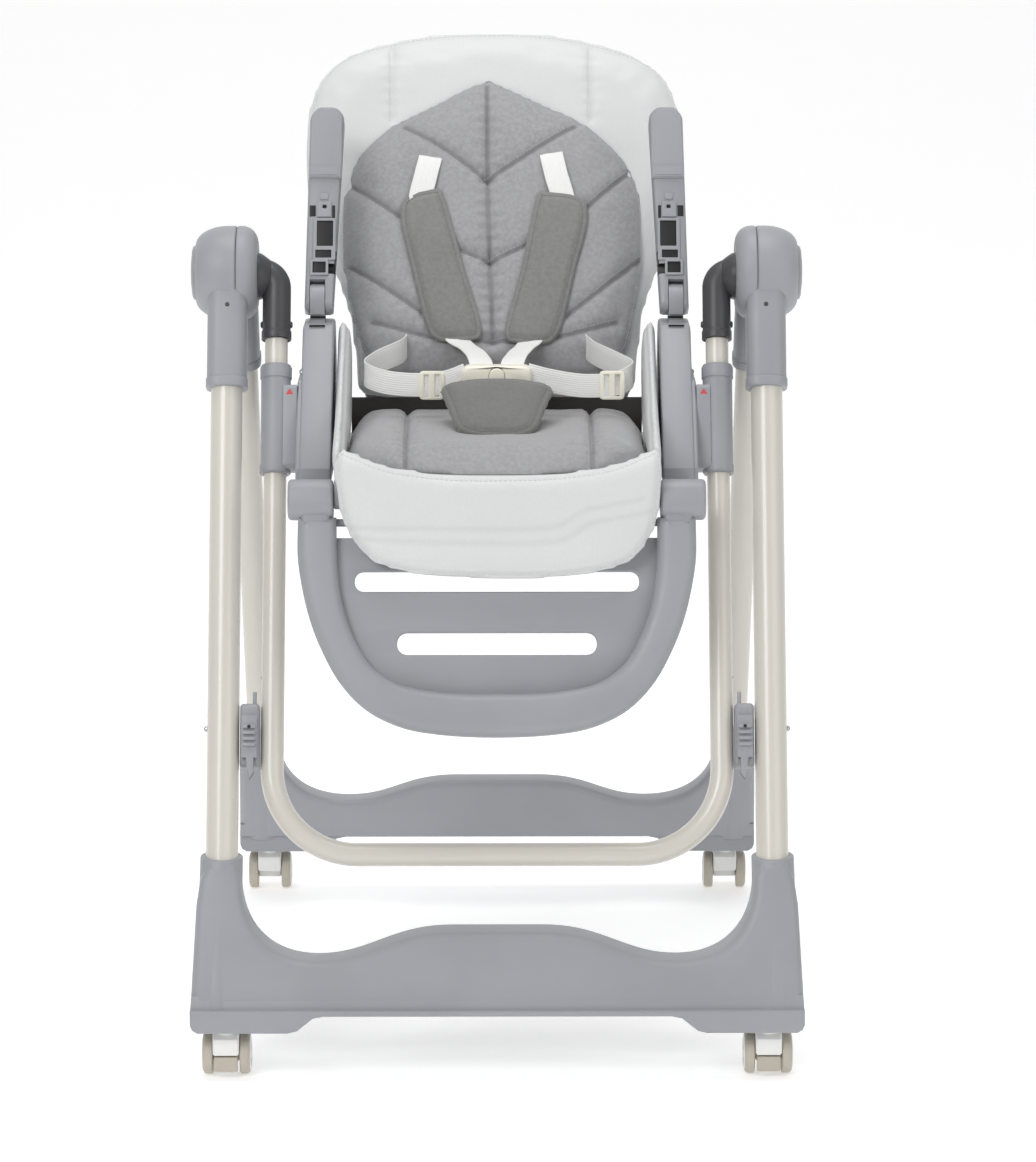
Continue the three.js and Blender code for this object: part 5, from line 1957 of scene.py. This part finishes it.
@dataclass
class Casters:
    """The four twin-wheel casters and the front pair's brake pedals."""

    chair: Chair
    wheel: float = 20.5
    half: float = 24.5
    face: float = 13.3

    def wheels(self, end: str, name: str) -> None:
        """A pair of treaded wheels with recessed hubs on their axle."""
        low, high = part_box(f"caster_wheels_{end}_{name}")
        middle = (low + high) / 2
        r = self.wheel
        profile = [(0, self.face), (r - 1, self.face), (r, self.face + 1), (r, self.half - 4.5),
                   (r - 0.8, self.half - 2.5), (r - 2.5, self.half - 1.2), (r - 5, self.half - 0.4),
                   (r - 6.5, self.half - 0.6),
                   (r - 7.5, self.half - 2.2), (6.5, self.half - 2.4), (5.6, self.half - 0.4), (0, self.half)]
        right = lathe("wheel", profile, 64)
        left = mirror_x(lathe("wheel", profile, 64), -1.0)
        reach = self.face + 2
        axle = lathe("axle", [(0, -reach), (4, -reach), (4, reach), (0, reach)], 20)
        piece = coated(join("wheels", (right, left, axle)), Look.TREAD, Look.WHITE)
        for face in piece.data.polygons:
            x, y, z = face.center / MM
            face.material_index = int(math.hypot(y, z) < r - 2.2 and abs(x) > self.face + 1)
        moved(piece, Matrix.Translation(middle))
        done(dressed(piece, f"wheel_pair_{end}_{name}", Look.TREAD), f"wheels_{end}_{name}",
             f"caster_wheels_{end}_{name}")

    def build(self) -> None:
        """Makes every caster."""
        for name, _ in SIDES:
            for end in ("front", "rear"):
                self.wheels(end, name)
                skin(self.chair.frame, f"caster_hood_{end}_{name}", Look.WHITE, 0.0012, 3)
            skin(self.chair.frame, "caster_brake_" + name, Look.TREAD, 0.0005, 2)


# Studio
@dataclass(frozen=True)
class Studio:
    """The pale floor, soft lights and the camera."""

    distance: float = 4.47
    height: float = 1.357
    pitch: float = 11.68
    yaw: float = 0.278
    lens: float = 137.2
    wall: float = 3.0
    bend: float = 3.0
    reach: float = 14.0
    wall_top: float = 12.0
    paper_glow: float = 0.36
    daylight: float = 0.33
    aim_height: float = 0.5
    lamps: Sequence[tuple[str, tuple[float, float, float], float, float]] = (
        ("key", (-2.2, -3.6, 3.4), 2.4, 84.0), ("fill", (2.8, -3.0, 2.2), 3.0, 30.0),
        ("top", (0.0, 0.0, 4.2), 2.6, 66.0))

    def floor(self) -> None:
        """A plain pale floor that runs up behind the chair in one wide curve."""
        profile = [(-self.reach, 0.0), (self.wall, 0.0)]
        for step in range(1, 13):
            turn = math.radians(90 * step / 12)
            profile.append((self.wall + self.bend * math.sin(turn), self.bend - self.bend * math.cos(turn)))
        profile.append((self.wall + self.bend, self.wall_top))
        verts = [(x, y, z) for y, z in profile for x in (-self.reach, self.reach)]
        faces = [(2 * i, 2 * i + 1, 2 * i + 3, 2 * i + 2) for i in range(len(profile) - 1)]
        piece = new_object("studio_floor", np.array(verts), faces)
        shader = Shader("floor_paper")
        shader.set(Base_Color=(0.9, 0.9, 0.9, 1.0), Roughness=0.85)
        shader.set(Emission_Color=(1.0, 1.0, 1.0, 1.0), Emission_Strength=self.paper_glow)
        piece.data.materials.append(shader.material)
        smooth(piece, 60.0)

    def light(self, name: str, place: Sequence[float], size: float, power: float) -> None:
        """One large soft light aimed at the chair."""
        lamp = bpy.data.lights.new(name, "AREA")
        lamp.shape = "DISK"
        lamp.size = size
        lamp.energy = power
        holder = linked(name, lamp)
        holder.location = place
        holder.visible_camera = False
        aim = Vector((0, 0, self.aim_height)) - Vector(place)
        holder.rotation_euler = aim.to_track_quat("-Z", "Y").to_euler()

    def camera(self, hub: Vector) -> None:
        """The camera before the chair, a little above it and looking slightly down."""
        lens = bpy.data.cameras.new("camera")
        lens.lens = self.lens
        lens.sensor_width = 36.0
        lens.clip_end = 60.0
        holder = linked("camera", lens)
        holder.location = (0.0, hub.y - self.distance, self.height)
        holder.rotation_euler = (math.radians(90 - self.pitch), 0.0, -math.radians(self.yaw))
        bpy.context.scene.camera = holder

    def build(self, hub: Vector) -> None:
        """Makes the floor, the lights and the camera."""
        self.camera(hub)
        self.floor()
        world = bpy.data.worlds.new("studio")
        world.use_nodes = True
        sky = world.node_tree.nodes["Background"].inputs
        sky["Color"].default_value = (1.0, 1.0, 1.0, 1.0)
        sky["Strength"].default_value = self.daylight
        bpy.context.scene.world = world
        bpy.context.scene.view_settings.view_transform = "Standard"
        for lamp in self.lamps:
            self.light(*lamp)


def main() -> None:
    """Builds the studio and every sub-assembly."""
    logging.basicConfig(level=logging.INFO, format="%(message)s")
    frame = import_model()
    chair = Chair(frame)
    Studio().build(chair.hub)
    for part in (BackCushion(chair), SeatCushion(chair), Harness(chair), AFrame(chair), Rail(chair),
                 Footrest(chair), Carriage(chair), Casters(chair), Fasteners(chair)):
        part.build()


if __name__ == "__main__":
    main()
